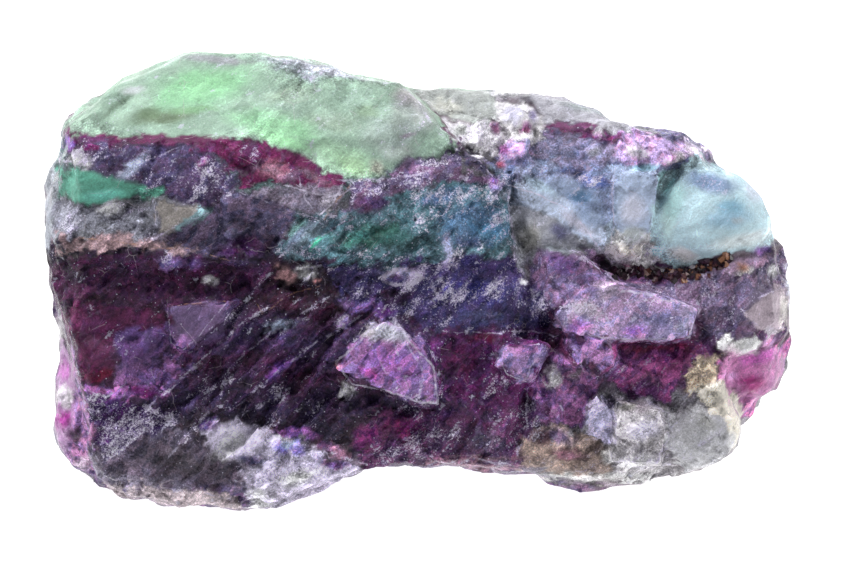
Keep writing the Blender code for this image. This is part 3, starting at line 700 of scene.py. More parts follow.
        (12.9, -5.2), (6, -4.9), (0.4, -5.1), (-3.4, -3.8), (-8, -2)]),
    "left rim": ((173, 178, 188), 0.35, 0.3, [
        (-39, 12), (-36.7, 12.4), (-36.4, 10), (-36.7, 4), (-37.6, 2), (-39, 4)]),
}

# %% [markdown]
# Spots are ellipses: they lay painted glows and glints, a painted shadow and stains over the
# outlines, with very soft edges.

# %% Spots: colour, frost, middle, reach, turn in degrees
SPOTS = {
    "cap glow, upper left": ((156, 214, 168), 0.2, (-22.5, 19), (6.5, 2.2), 12),
    "cap glow, left": ((182, 213, 192), 0.25, (-28.6, 17.4), (3.2, 1.4), 35),
    "cap glow, low": ((156, 212, 166), 0.2, (-14.4, 15.3), (5.2, 1.5), -14),
    "cap glow, right": ((192, 235, 198), 0.2, (-7.6, 12.2), (3.6, 1.5), -22),
    "cap glow, middle": ((147, 168, 150), 0.3, (-9, 15.8), (3.0, 1.2), 0),
    "cap smudge, left": ((114, 134, 106), 0.3, (-25.6, 16.3), (3.8, 0.8), 8),
    "cap smudge, middle": ((173, 198, 177), 0.4, (-13, 18.4), (3.0, 1.0), 10),
    "cap smudge, right": ((154, 171, 163), 0.5, (-3.2, 14.2), (3.4, 2.2), -30),
    "cap edge": ((162, 153, 159), 0.5, (-0.8, 17.4), (2.8, 1.5), -48),
    "cap rim": ((192, 193, 209), 0.6, (-9.5, 21.2), (7.5, 0.9), -9),
    "seam, magenta end": ((83, 2, 75), 0.3, (-33.2, 13.9), (1.6, 0.6), -6),
    "seam, violet end": ((154, 107, 197), 0.4, (-35.4, 13.5), (0.9, 0.7), 0),
    "seam, white end": (PALE, 0.7, (-34.2, 12.0), (1.9, 0.9), 0),
    "seam, rosy": ((163, 122, 139), 0.2, (-14.6, 10.8), (2.4, 1.1), -14),
    "seam, right": ((118, 93, 108), 0.3, (-10.6, 10.4), (2.2, 0.6), -24),
    "pale flecks, one": ((199, 214, 240), 0.6, (-28.8, 11.5), (2.2, 0.6), 38),
    "pale flecks, two": ((177, 104, 167), 0.6, (-21.2, 12.2), (1.3, 0.4), 52),
    "pale flecks, three": ((51, 48, 71), 0.45, (-21.6, 8.8), (1.8, 0.8), 48),
    "emerald glow": ((138, 232, 214), 0.05, (-31.6, 8.5), (2.4, 0.6), 4),
    "olive crust": (PALE, 0.8, (-31, 7.2), (1.4, 0.7), 20),
    "maroon under slate": ((72, 26, 76), 0.1, (-17.6, 3.2), (3.2, 1.0), 4),
    "teal stripes": ((106, 126, 137), 0.55, (-11.4, 4.2), (3.2, 1.5), 44),
    "teal stripe, bright": ((115, 154, 174), 0.35, (-9.7, 4.6), (2.8, 0.5), 44),
    "teal stripe, second": ((126, 142, 163), 0.35, (-12.3, 4.2), (2.4, 0.4), 44),
    "window, dark green": ((66, 122, 108), 0.2, (-4.6, 4.4), (3.8, 1.7), 6),
    "window, deep": ((68, 100, 106), 0.2, (-1.6, 3.6), (3.0, 1.3), 10),
    "window, blue": ((96, 138, 168), 0.6, (5, 5.8), (3.6, 2.5), 0),
    "window, violet left": ((79, 46, 79), 0.3, (-5.2, 7.6), (1.6, 1.0), 20),
    "window, frost": ((86, 123, 146), 0.95, (2.6, 8.6), (3.4, 0.7), 12),
    "window, white streak": ((209, 213, 246), 0.8, (2.7, 3.2), (0.6, 1.9), 0),
    "pink above the window": ((114, 96, 127), 0.5, (-1, 11.3), (2.0, 0.6), 12),
    "rear beige": ((211, 212, 202), 0.3, (2.6, 17.3), (1.8, 0.8), -10),
    "rear pink spot": ((208, 178, 222), 0.2, (10.2, 13), (0.9, 0.6), 0),
    "rear brown spot": ((214, 148, 209), 0.2, (10.4, 15.4), (0.6, 0.6), 0),
    "rear violet spot": ((121, 110, 158), 0.3, (11.2, 16.6), (0.6, 0.9), 0),
    "rear mint": ((175, 184, 186), 0.3, (17, 17), (3.6, 0.6), -14),
    "cluster pink, left": ((246, 245, 246), 0.3, (21.8, 13), (1.2, 0.6), 0),
    "cluster pink, right": (PALE, 0.25, (25.4, 12.4), (1.0, 0.8), -30),
    "cluster violet": ((87, 86, 108), 0.3, (27.6, 13.4), (1.1, 0.5), -30),
    "slate, dark": ((59, 69, 103), 0.4, (15.4, 11.0), (2.4, 0.7), 0),
    "slate, frost": ((87, 103, 170), 0.7, (17.4, 10), (1.6, 0.8), -20),
    "slate, low": ((172, 193, 229), 0.3, (17, 7.2), (1.6, 1.6), 0),
    "aqua beside the ridge": ((200, 225, 246), 0.45, (11.6, 9.4), (2.4, 0.6), -24),
    "panel, teal wedge": ((163, 211, 231), 0.2, (22.8, 11.4), (1.5, 0.5), 10),
    "panel, white": ((210, 212, 230), 0.5, (21.4, 7), (1.5, 1.8), 0),
    "panel, beige": ((226, 220, 212), 0.5, (21.2, 2.8), (1.8, 1.1), 0),
    "nodule, crescent": ((192, 246, 246), 0.1, (24.1, 10.2), (0.35, 1.3), -24),
    "nodule, aqua rim": ((216, 246, 244), 0.2, (24.9, 7), (0.8, 3.0), 0),
    "nodule, violet frost": ((128, 146, 178), 0.6, (29.2, 9.6), (3.2, 1.0), -10),
    "nodule, teal": ((161, 199, 222), 0.25, (30.8, 6.2), (2.8, 1.1), 8),
    "nodule, mint": ((232, 245, 246), 0.3, (32.4, 4), (3.8, 0.9), 14),
    "nodule, pale foot": (PALE, 0.35, (26.4, 2.4), (1.8, 0.8), -10),
    "nodule, white edge": ((197, 210, 228), 0.4, (33.6, 8.8), (1.2, 1.4), 0),
    "cleft, brown": (PALE, 0.2, (24, 0.7), (4.4, 0.5), -6),
    "cleft, orange left": (PALE, 0.2, (22.2, 1.3), (0.8, 0.4), 0),
    "cleft, mauve": ((225, 191, 223), 0.35, (32, 1.6), (3.8, 0.7), 18),
    "cleft, orange right": (PALE, 0.25, (29, 1.5), (1.6, 0.4), 16),
    "cleft, rust right": ((246, 244, 244), 0.3, (32.4, 1.0), (1.2, 0.5), 14),
    "beak, violet": ((135, 95, 156), 0.35, (14.2, 2.0), (1.8, 1.1), -20),
    "beak, pale": ((194, 175, 196), 0.4, (18.6, -1), (1.2, 1.2), 0),
    "plate, pale left": ((185, 166, 182), 0.5, (16.6, -2.6), (1.8, 0.9), -20),
    "plate, pink left": ((182, 122, 192), 0.25, (16, -4.8), (1.4, 0.8), 0),
    "plate, pink middle": ((238, 189, 246), 0.25, (21.4, -5), (1.5, 0.7), 0),
    "plate, grey end": ((129, 136, 154), 0.55, (26.2, -3.8), (1.4, 1.3), 0),
    "shadow under the plate": ((112, 34, 66), 0.05, (23.6, -6.7), (4.6, 0.5), 2),
    "yellow rim": ((236, 230, 226), 0.3, (36.2, -3), (0.35, 1.8), 0),
    "right rim": ((219, 223, 236), 0.5, (37, -1), (0.5, 3.6), 0),
    "lobe right, pink": ((224, 125, 211), 0.2, (34.2, -7.6), (2.4, 0.8), 16),
    "lobe right, deep": ((220, 156, 203), 0.1, (31.4, -8.6), (1.0, 1.8), 0),
    "wine right, bright": ((113, 73, 107), 0.2, (22.6, -10), (2.6, 0.8), -12),
    "olive on the block": ((139, 127, 138), 0.4, (21.2, -12.6), (2.0, 0.8), -14),
    "brown on the corner": ((134, 114, 145), 0.3, (14, -15.6), (2.2, 0.8), -20),
    "wine on the corner": ((98, 57, 68), 0.2, (14.6, -17.6), (2.0, 0.5), -6),
    "white on the corner": (PALE, 0.7, (18.6, -17.4), (1.0, 1.0), 0),
    "bottom edge, right": (PALE, 0.4, (18, -19.8), (9, 0.5), 0),
    "bottom edge, cream": ((192, 153, 169), 0.5, (5, -18.6), (6.5, 0.35), -3),
    "bottom edge, dark": ((157, 124, 139), 0.3, (6, -17.9), (5.5, 0.3), 0),
    "crust, white violet": ((122, 110, 164), 0.85, (-24.9, 1.9), (1.6, 0.8), 0),
    "crust, blue violet": ((92, 68, 113), 0.4, (-22.6, 1.6), (1.6, 0.6), 0),
    "crust, white dot": (PALE, 0.85, (-20.9, -0.2), (0.7, 0.6), 0),
    "band, brown end": ((86, 70, 101), 0.2, (-18, 1.8), (2.0, 0.4), 0),
    "orange stain": ((235, 179, 185), 0.2, (-13.7, 0.7), (1.2, 0.9), -40),
    "pale pink crust": (PALE, 0.6, (-11.4, 0.7), (1.4, 0.8), 0),
    "rust dot": ((246, 178, 183), 0.1, (-10.3, -0.2), (0.4, 0.4), 0),
    "ring crust": ((214, 212, 246), 0.9, (-1.8, 0.6), (2.4, 0.7), -4),
    "ring eye": ((74, 56, 106), 0.1, (-2.4, 0.2), (1.0, 0.35), 0),
    "blue frost": ((56, 58, 128), 0.95, (5.4, -1.2), (3.2, 1.6), 0),
    "blue frost, right": ((84, 80, 124), 0.8, (9.6, -1.6), (1.8, 1.8), 0),
    "black pocket": ((65, 36, 64), 0.15, (-3, -1.8), (2.8, 0.9), 6),
    "black pocket, right": ((67, 69, 100), 0.2, (7, -3.8), (3.6, 0.8), 0),
    "red glints": ((111, 7, 53), 0.1, (-31.6, -9.4), (1.7, 0.6), 10),
    "maroon, dark": ((121, 58, 107), 0.1, (-33, -4.6), (2.4, 1.0), 0),
    "mauve under the wedge": ((174, 125, 185), 0.25, (-23.6, -6.3), (1.0, 0.9), 0),
    "foot, blue": (PALE, 0.5, (-12.8, -16.6), (1.6, 1.2), 40),
    "foot, pink": ((200, 151, 183), 0.3, (-8.2, -17), (2.2, 0.7), -14),
    "foot, bright tip": (PALE, 0.6, (-16.2, -22), (1.4, 1.2), 30),
    "foot, dark": (PALE, 0.3, (-18.8, -16.4), (2.4, 0.8), 30),
    "foot, grey": (PALE, 0.4, (-12.2, -19.8), (2.6, 0.7), 20),
    "lobe left, pale top": (PALE, 0.4, (-36.2, -5), (0.8, 1.6), 0),
    "lobe left, magenta": ((221, 124, 215), 0.15, (-35.6, -8.9), (0.8, 1.2), 0),
    "lobe left, clear": ((244, 243, 241), 0.5, (-35.7, -11.7), (1.2, 1.0), 0),
    "lobe left, hot": ((196, 57, 174), 0.15, (-35.9, -14.1), (1.1, 1.2), 0),
    "lobe left, dark": ((38, 2, 35), 0.15, (-34.4, -15.7), (0.8, 0.9), 0),
    "lobe left, pale foot": ((211, 191, 211), 0.4, (-34, -18.4), (1.2, 0.9), 0),
    "plate, frosted top": ((207, 209, 221), 0.7, (-3.4, -5.5), (2.6, 1.1), -10),
    "plate, yellow tinge": ((156, 150, 151), 0.5, (-5.4, -5.4), (1.0, 0.6), 20),
    "plate, bright": ((177, 122, 199), 0.2, (-3.0, -8.5), (3.0, 1.5), -24),
    "plate, loose chip": ((221, 221, 221), 0.6, (-7.4, -10.9), (1.0, 1.1), 0),
    "violet over the plate": ((194, 165, 240), 0.35, (-5.8, -2.9), (3.0, 0.7), -10),
    "crust beside the plate": ((200, 179, 246), 0.85, (-7.9, -4.2), (1.3, 0.8), 40),
    "wine, bright": ((76, 2, 42), 0.05, (6.4, -5.9), (2.2, 0.6), 0),
    "wine, lower left": ((108, 2, 82), 0.1, (-1.4, -14.6), (2.0, 1.2), 0),
    "chip, magenta": ((231, 178, 246), 0.2, (10.6, -6.9), (1.6, 0.6), 0),
    "wine, black": ((87, 56, 97), 0.1, (3, -13), (3.2, 0.7), -6),
    "violet frost, low": ((82, 73, 93), 0.7, (6, -16.2), (2.6, 1.4), 0),
    "cap, upper mint": ((154, 212, 164), 0.15, (-21.5, 19.6), (4.0, 1.4), 8),
    "cap, white streak": ((224, 232, 235), 0.3, (-28.8, 19), (1.4, 0.5), 10),
    "cap, olive smudge": ((112, 136, 106), 0.25, (-27.2, 16.7), (1.6, 0.7), 12),
    "cap, grey streak": ((135, 180, 137), 0.3, (-22.4, 17), (2.8, 0.4), 4),
    "cap, dark diagonal": ((112, 136, 116), 0.25, (-30.4, 17.4), (2.2, 0.4), 40),
    "cap, pink grey top": ((167, 169, 176), 0.4, (-20.4, 22.1), (4.4, 0.5), -6),
    "cap, frosted rim": ((153, 168, 170), 0.8, (-12.4, 20.8), (2.6, 0.9), -18),
    "cap, bright green": ((166, 226, 174), 0.15, (-13.6, 13.8), (3.0, 0.7), -18),
    "cap, green foot": ((179, 217, 175), 0.1, (-6.8, 11.8), (1.8, 0.9), -20),
    "cap, green stripe": ((156, 184, 157), 0.2, (-5.2, 16.8), (1.6, 0.6), 0),
    "cap, grey right": ((152, 165, 159), 0.45, (-1.2, 16), (2.4, 2.2), -40),
    "cap, grey low": ((181, 196, 188), 0.4, (-2.2, 12.8), (1.6, 0.9), 0),
    "cap, beige foot": ((197, 200, 185), 0.2, (-4.4, 11.2), (1.0, 0.9), 0),
    "cap, dark dash": ((151, 139, 155), 0.2, (-1.4, 14.4), (1.0, 0.25), 12),
    "rear, mauve triangle": ((193, 135, 184), 0.2, (7.3, 15.4), (0.5, 0.7), 0),
    "rear, pinkish": ((169, 173, 170), 0.4, (4, 14.8), (1.2, 0.8), 0),
    "rear, grey gap": (PALE, 0.3, (5.2, 13.4), (1.0, 0.4), -20),
    "rear, white chunk": ((186, 184, 209), 0.6, (9.2, 16.8), (1.2, 1.0), 0),
    "rear, brown wedge": ((194, 121, 166), 0.2, (10.2, 15.2), (0.6, 0.5), 0),
    "rear, magenta": ((162, 102, 165), 0.15, (8.6, 13), (0.8, 0.6), 20),
    "rear, rose": ((182, 96, 121), 0.2, (8.4, 11.5), (0.8, 0.4), 0),
    "knob, dark": ((61, 54, 80), 0.3, (5.4, 11.7), (1.8, 0.7), -36),
    "beside the knob": ((200, 148, 224), 0.75, (7.6, 9.6), (0.9, 1.0), 0),
    "window, violet wine": ((101, 77, 123), 0.3, (-4.8, 7.8), (1.6, 0.6), 6),
    "window, green": ((64, 113, 111), 0.1, (-2.6, 4.0), (2.0, 0.9), 6),
    "window, teal": ((66, 118, 116), 0.45, (-5.6, 4.8), (1.6, 1.0), 0),
    "window, steel": ((84, 120, 150), 0.9, (1.8, 8.2), (1.6, 0.9), 0),
    "window, dark violet": ((66, 85, 115), 0.5, (4.8, 3.8), (1.4, 0.7), 0),
    "window, blue glow": ((84, 146, 176), 0.55, (6.6, 5.2), (1.6, 1.4), 0),
    "stripe, green one": ((71, 196, 155), 0.1, (-10, 3.9), (1.6, 0.3), 46),
    "stripe, green two": ((112, 153, 148), 0.1, (-12.4, 5.2), (1.4, 0.35), 46),
    "glass, pale": ((168, 162, 176), 0.5, (-9.2, 8), (1.2, 0.8), 40),
    "slate, bright frost": ((117, 159, 230), 1.0, (17.2, 9.6), (1.4, 0.5), 0),
    "slate, deep": ((82, 122, 157), 0.4, (16, 8.4), (1.4, 0.8), 0),
    "slate, plain": ((167, 184, 214), 0.2, (17.4, 6.6), (1.0, 1.3), 0),
    "rear violet, dark": ((95, 104, 130), 0.3, (15.6, 12.6), (2.0, 0.8), 0),
    "rear violet, grey": ((109, 111, 120), 0.3, (17.6, 12.9), (0.9, 0.6), 0),
    "rear wine, core": ((71, 33, 75), 0.1, (16, 14.8), (1.4, 0.45), 0),
    "rear wine, chip": ((237, 201, 228), 0.3, (17.8, 14.8), (0.5, 0.35), 0),
    "cluster, hot": ((244, 197, 246), 0.1, (25, 12.6), (0.9, 0.6), -30),
    "cluster, band": ((246, 231, 246), 0.2, (22.2, 12.7), (1.2, 0.3), 0),
    "cluster, white": ((225, 204, 230), 0.4, (21.6, 13.5), (1.1, 0.4), 0),
    "corner, dark": ((152, 143, 173), 0.2, (28.6, 12.4), (0.5, 0.7), 0),
    "panel, speckled foot": ((187, 196, 198), 0.6, (21.4, 4.4), (1.6, 1.1), 0),
    "vein, milky": ((197, 196, 214), 0.6, (15.8, 5.6), (2.4, 0.6), -38),
    "vein, dark side": ((91, 92, 127), 0.35, (14, 5.0), (1.3, 0.8), 0),
    "vein, olive side": ((150, 150, 146), 0.4, (10.8, 4.4), (1.3, 1.6), 0),
    "ridge, cream chip": (PALE, 0.5, (10.7, 0.4), (0.5, 0.9), 0),
    "nodule, aqua": ((202, 246, 246), 0.1, (25.4, 8), (1.2, 2.0), -10),
    "nodule, blue frost": ((138, 164, 198), 0.85, (28.6, 10), (2.4, 1.0), -8),
    "nodule, deep teal": ((134, 180, 204), 0.15, (31, 7.4), (1.8, 0.9), 0),
    "nodule, olive speck": ((172, 188, 197), 0.5, (31.8, 6), (0.8, 0.4), 0),
    "cleft, wine": ((148, 103, 146), 0.2, (23, 0), (3.4, 0.4), -4),
    "cleft, knob left": ((158, 106, 131), 0.1, (20.9, 1.1), (0.8, 0.5), 0),
    "cleft, knob right": ((84, 82, 150), 0.1, (24.8, 0.8), (0.8, 0.5), 0),
    "cleft, white left": (PALE, 0.6, (22.9, 0.7), (0.5, 0.4), 0),
    "cleft, white right": (PALE, 0.6, (27.4, 0.3), (0.6, 0.35), 0),
    "right end, violet": ((159, 116, 195), 0.4, (34.2, 3.1), (1.3, 0.5), 16),
    "right end, orange": ((244, 176, 151), 0.2, (32.2, 1.3), (0.8, 0.5), 0),
    "right end, white": (PALE, 0.5, (35.2, 0.8), (0.7, 0.7), 0),
    "right end, grey violet": ((120, 100, 133), 0.3, (30.8, -4.6), (2.4, 0.5), -10),
    "side facet, pale": ((186, 179, 191), 0.2, (35.2, -5), (0.7, 0.5), 0),
    "lobe right, pale tip": ((240, 180, 227), 0.1, (35, -6.1), (1.0, 0.6), 30),
    "lobe right, wine": ((177, 52, 133), 0.1, (33.2, -10.4), (1.5, 0.9), 20),
    "lobe right, milk": ((246, 193, 246), 0.2, (31.2, -9.5), (0.7, 0.35), 0),
    "boulder, dark": ((185, 185, 183), 0.4, (28.4, -14.2), (1.2, 0.8), -40),
    "boulder, pale rim": (PALE, 0.6, (31, -16.4), (0.6, 1.4), 0),
    "block, olive": ((168, 165, 159), 0.4, (20.8, -12.6), (1.0, 0.5), 0),
    "block, frost": ((200, 196, 214), 0.9, (22.8, -15.2), (1.4, 1.0), 0),
    "block, white base": (PALE, 0.85, (21.8, -18.2), (2.2, 0.9), 0),
    "corner, wine brown": ((147, 103, 120), 0.25, (15, -17.4), (1.8, 0.7), -10),
    "corner, grey brown": ((105, 72, 85), 0.5, (12, -15.8), (1.6, 0.9), -20),
    "mauve, lilac": (PALE, 0.6, (13.2, -9.8), (0.8, 1.4), 20),
    "mauve, grey brown": ((138, 129, 137), 0.3, (15.2, -9.6), (0.9, 1.1), 20),
    "mauve, dark gap": ((73, 29, 74), 0.2, (13, -7.6), (0.7, 1.4), -50),
    "plate, lavender": ((140, 134, 168), 0.75, (24.4, -3.4), (2.8, 1.2), -6),
    "plate, purple": ((157, 105, 191), 0.15, (21.4, -5), (0.9, 0.5), 0),
    "plate, white band": ((217, 207, 230), 0.6, (16, -2.9), (1.8, 0.4), 0),
    "lower left, slate": ((43, 43, 90), 0.35, (-16.9, -17.8), (1.8, 0.6), 0),
    "lower left, white fibre": (PALE, 0.9, (-18.9, -15.8), (1.8, 0.8), 40),
    "lower left, greenish": ((77, 71, 80), 0.2, (-23.6, -18.4), (4.6, 1.5), -4),
    "foot, violet round": ((142, 110, 207), 0.4, (-12.8, -16.8), (1.6, 0.8), 0),
    "foot, blue white": ((210, 230, 246), 0.8, (-13, -16.6), (0.7, 0.6), 0),
    "foot, grey facets": ((197, 191, 209), 0.5, (-14.6, -21), (1.6, 0.7), 20),
    "foot, glassy": ((127, 76, 148), 0.2, (-8.6, -18.2), (2.2, 0.45), -8),
    "rosy purple": ((185, 128, 213), 0.3, (-12.4, -15.2), (2.6, 0.7), -6),
    "mauve brown": ((116, 80, 122), 0.3, (-9.8, -16.6), (1.0, 0.5), 0),
    "deep wine": ((150, 63, 137), 0.15, (-5.6, -15.2), (1.6, 1.6), 0),
    "purple band": ((157, 101, 200), 0.35, (-14, -8.8), (2.4, 0.6), 40),
    "magenta purple": ((104, 78, 143), 0.4, (-21, -14.2), (1.0, 0.8), 0),
    "slate frosted": ((205, 223, 246), 0.6, (-14, -4.7), (2.0, 0.6), 16),
    "magenta band": ((138, 36, 119), 0.2, (-27.4, -11.2), (2.0, 0.5), -12),
    "wine, deep": ((94, 34, 80), 0.1, (4.4, -8.4), (2.0, 2.0), 0),
    "violet, middle": ((117, 52, 128), 0.3, (-3.8, -3.1), (1.6, 0.6), 0),
    "plate, hot pink": ((212, 113, 207), 0.1, (-5, -9.4), (1.4, 0.5), -30),
    "plate, tan tip": ((221, 140, 154), 0.2, (-8.2, -8.4), (0.6, 0.5), 0),
    "plate, white foot": ((221, 221, 221), 0.8, (0.8, -12.2), (1.0, 0.3), 0),
    "chip, pale": ((171, 155, 211), 0.5, (9.8, -8.4), (1.2, 1.2), 0),
    "lobe left, cream": ((243, 233, 245), 0.3, (-35.6, -11.6), (0.9, 1.2), 0),
}

# %% [markdown]
# Frost is more than a share of a patch: it lies in strokes and clumps of its own, white where a
# blow crushed the crystal. These veils change the frost alone and leave the colour. An amount of 1
# is nearly solid white, and 0 wipes a facet clean.

# %% Veils: amount of frost, middle, reach, turn in degrees
VEILS = {
    "crust on the ledge": (1.1, (-24.8, 2.6), (1.1, 0.7), 0),
    "crust, lower": (1.0, (-24.2, 1.3), (0.8, 0.5), 0),
    "dot on the black": (1.1, (-20.9, -0.3), (0.6, 0.5), 0),
    "flecks on the black": (0.75, (-31, 1.1), (2.0, 0.7), 0),
    "clean black": (0.05, (-27, -0.6), (5.0, 1.1), 0),
    "maroon flecks": (0.95, (-32.3, -3), (1.4, 0.6), 20),
    "maroon chip": (1.0, (-30.4, -4.3), (0.7, 0.5), 0),
    "clean maroon": (0.02, (-33, -7.4), (1.8, 2.0), 0),
    "clean indigo": (0.05, (-27, -6), (1.6, 1.0), 10),
    "clean brown": (0.02, (-27, -9.2), (2.6, 0.9), 0),
    "pink streak": (0.95, (-32.2, -11.5), (1.6, 0.35), -20),
    "pink streak, right": (0.9, (-30.2, -11.4), (0.7, 0.4), 50),
    "lilac cluster": (1.0, (-25.6, -11), (0.8, 0.5), 40),
    "flecks beside the wedge": (0.95, (-19.2, -3.4), (1.3, 0.4), 45),
    "rib frost, first": (0.95, (-23, -9.3), (2.0, 0.4), 44),
    "rib frost, second": (0.95, (-19.6, -10.3), (0.5, 1.3), -10),
    "rib frost, third": (0.95, (-15.2, -12), (2.8, 0.4), 28),
    "rib frost, fourth": (0.85, (-12.6, -8.2), (2.4, 0.4), 42),
    "rib frost, high": (0.8, (-12.4, -4.6), (2.4, 0.6), 30),
    "pepper, left": (0.85, (-29.5, -14.6), (3.6, 1.8), 20),
    "pepper, low": (0.9, (-31, -16.6), (1.6, 1.2), 0),
    "pepper, right": (0.85, (-25, -14.6), (1.6, 1.6), 40),
    "fibres": (1.05, (-23, -15.4), (3.0, 0.6), 48),
    "clean low black": (0.1, (-27.6, -18.2), (2.6, 1.0), 0),
    "clean low black, right": (0.12, (-21.6, -18.8), (2.6, 1.0), 0),
    "loose chip": (1.05, (-7.6, -10.8), (0.9, 0.9), 0),
    "crust on the plate": (1.0, (-8.2, -3.8), (1.1, 0.8), 20),
    "crust, small": (0.95, (-10.6, -2.8), (0.6, 0.5), 0),
    "plate top": (1.0, (-3.6, -4.9), (2.4, 0.8), 6),
    "plate right edge": (1.0, (1, -7.4), (0.5, 1.4), 24),
    "plate clean": (0.12, (-4, -8.6), (2.4, 1.1), -28),
    "ring, left": (1.1, (-3.4, 0.6), (0.8, 0.3), 40),
    "ring, right": (1.1, (-1, 0.8), (1.0, 0.25), -30),
    "ring, foot": (0.95, (-1.8, -0.4), (1.2, 0.25), 0),
    "pink crust": (1.0, (-11.2, 0.9), (1.0, 0.8), 0),
    "white crust": (1.1, (-9, 1), (0.7, 0.5), 0),
    "window, drip": (1.05, (2.9, 3), (0.4, 1.8), 6),
    "window, clumps left": (0.85, (-6.6, 8.6), (0.7, 0.5), 0),
    "window, clumps middle": (0.9, (-3.4, 7), (2.2, 0.4), 14),
    "blue ring, frost": (1.1, (2.1, -1.1), (1.3, 1.1), -30),
    "window, clumps right": (0.95, (1.6, 6.2), (1.0, 0.7), 0),
    "window, clumps high": (0.95, (0.4, 8.8), (2.6, 0.5), 16),
    "window, clumps far": (0.85, (5.4, 8), (2.0, 0.9), 0),
    "window, clean": (0.08, (-3.4, 4.2), (2.6, 1.2), 6),
    "blue black specks": (1.0, (5.6, -1), (2.6, 1.4), 0),
    "blue black, clear": (0.1, (9.6, -3.2), (1.6, 1.2), 0),
    "blue black, left": (0.95, (-5.2, -1), (1.8, 0.6), 20),
    "rim of the wine": (0.95, (9.6, -5.4), (3.4, 0.45), -3),
    "wine, clean": (0.05, (4.8, -7.2), (2.6, 1.4), 0),
    "wine, specks": (0.6, (6, -10.4), (3.4, 1.2), 0),
    "low, white dots": (0.9, (3.8, -15.8), (2.0, 0.5), 0),
    "low, clean": (0.1, (-3, -14.8), (2.2, 1.6), 0),
    "low, black": (0.15, (1.6, -14), (1.8, 0.9), 0),
    "low, chip": (1.0, (5.2, -13.8), (0.4, 0.3), 0),
    "seam flecks, one": (1.05, (-28.6, 11.6), (1.9, 0.35), 34),
    "seam flecks, two": (1.0, (-29.6, 12.8), (0.9, 0.3), 40),
    "seam flecks, three": (1.05, (-20.6, 12.8), (1.0, 0.3), 50),
    "seam flecks, four": (1.0, (-22, 11.6), (0.9, 0.3), 50),
    "seam flecks, five": (1.0, (-20.9, 10.6), (1.4, 0.35), 50),
    "seam flecks, six": (0.95, (-22.6, 8.8), (1.2, 0.5), 46),
    "seam flecks, seven": (0.9, (-18.8, 8.6), (1.1, 0.4), 30),
    "seam flecks, eight": (0.9, (-27.2, 9.2), (1.8, 0.3), 36),
    "seam pinpoints": (0.75, (-16.6, 12.6), (2.2, 0.8), -20),
    "seam, clean": (0.03, (-26, 14.1), (5.4, 0.45), 0),
    "seam, clean right": (0.05, (-13.2, 11.8), (3.0, 0.5), -20),
    "slate, clean": (0.12, (-17, 6.4), (3.4, 1.2), 10),
    "slate, clean low": (0.15, (-17, 3.8), (2.6, 0.9), 0),
    "olive crust": (1.05, (-30.9, 7.5), (1.2, 0.7), 10),
    "left end": (1.0, (-34.2, 12.4), (1.6, 0.8), 0),
    "olive, lower": (0.9, (-35.4, 5.6), (0.9, 1.4), 0),
    "slate blue, top": (1.0, (17, 10.6), (2.6, 0.4), 0),
    "slate blue, row": (1.0, (12.6, 10.9), (2.4, 0.35), 0),
    "slate blue, clean": (0.1, (17.2, 6.6), (1.2, 1.6), 0),
    "violet, sparkle": (0.7, (29.6, -2), (2.8, 1.8), 0),
    "shadow, clean": (0.03, (23, -6.6), (4.2, 0.5), 0),
    "plate, frosted end": (0.9, (25.8, -4.2), (1.6, 1.2), 0),
    "beak, edge": (0.9, (16.8, 2.2), (2.4, 0.35), -32),
    "beak, low": (0.85, (21.4, -1.4), (1.4, 0.4), 0),
    "mauve edge": (0.95, (12.8, -9.8), (0.4, 1.6), 20),
    "rose edge": (0.9, (15.6, -7.8), (0.4, 0.8), 20),
    "lilac chip": (0.95, (17.8, -14.4), (0.9, 1.2), 0),
    "tan pepper": (0.8, (28, -9.2), (1.6, 1.0), 0),
    "foot frost, left": (1.0, (-17.8, -18.7), (1.6, 0.5), 10),
    "foot frost, right": (0.95, (-11.4, -18.6), (1.8, 0.5), 14),
}
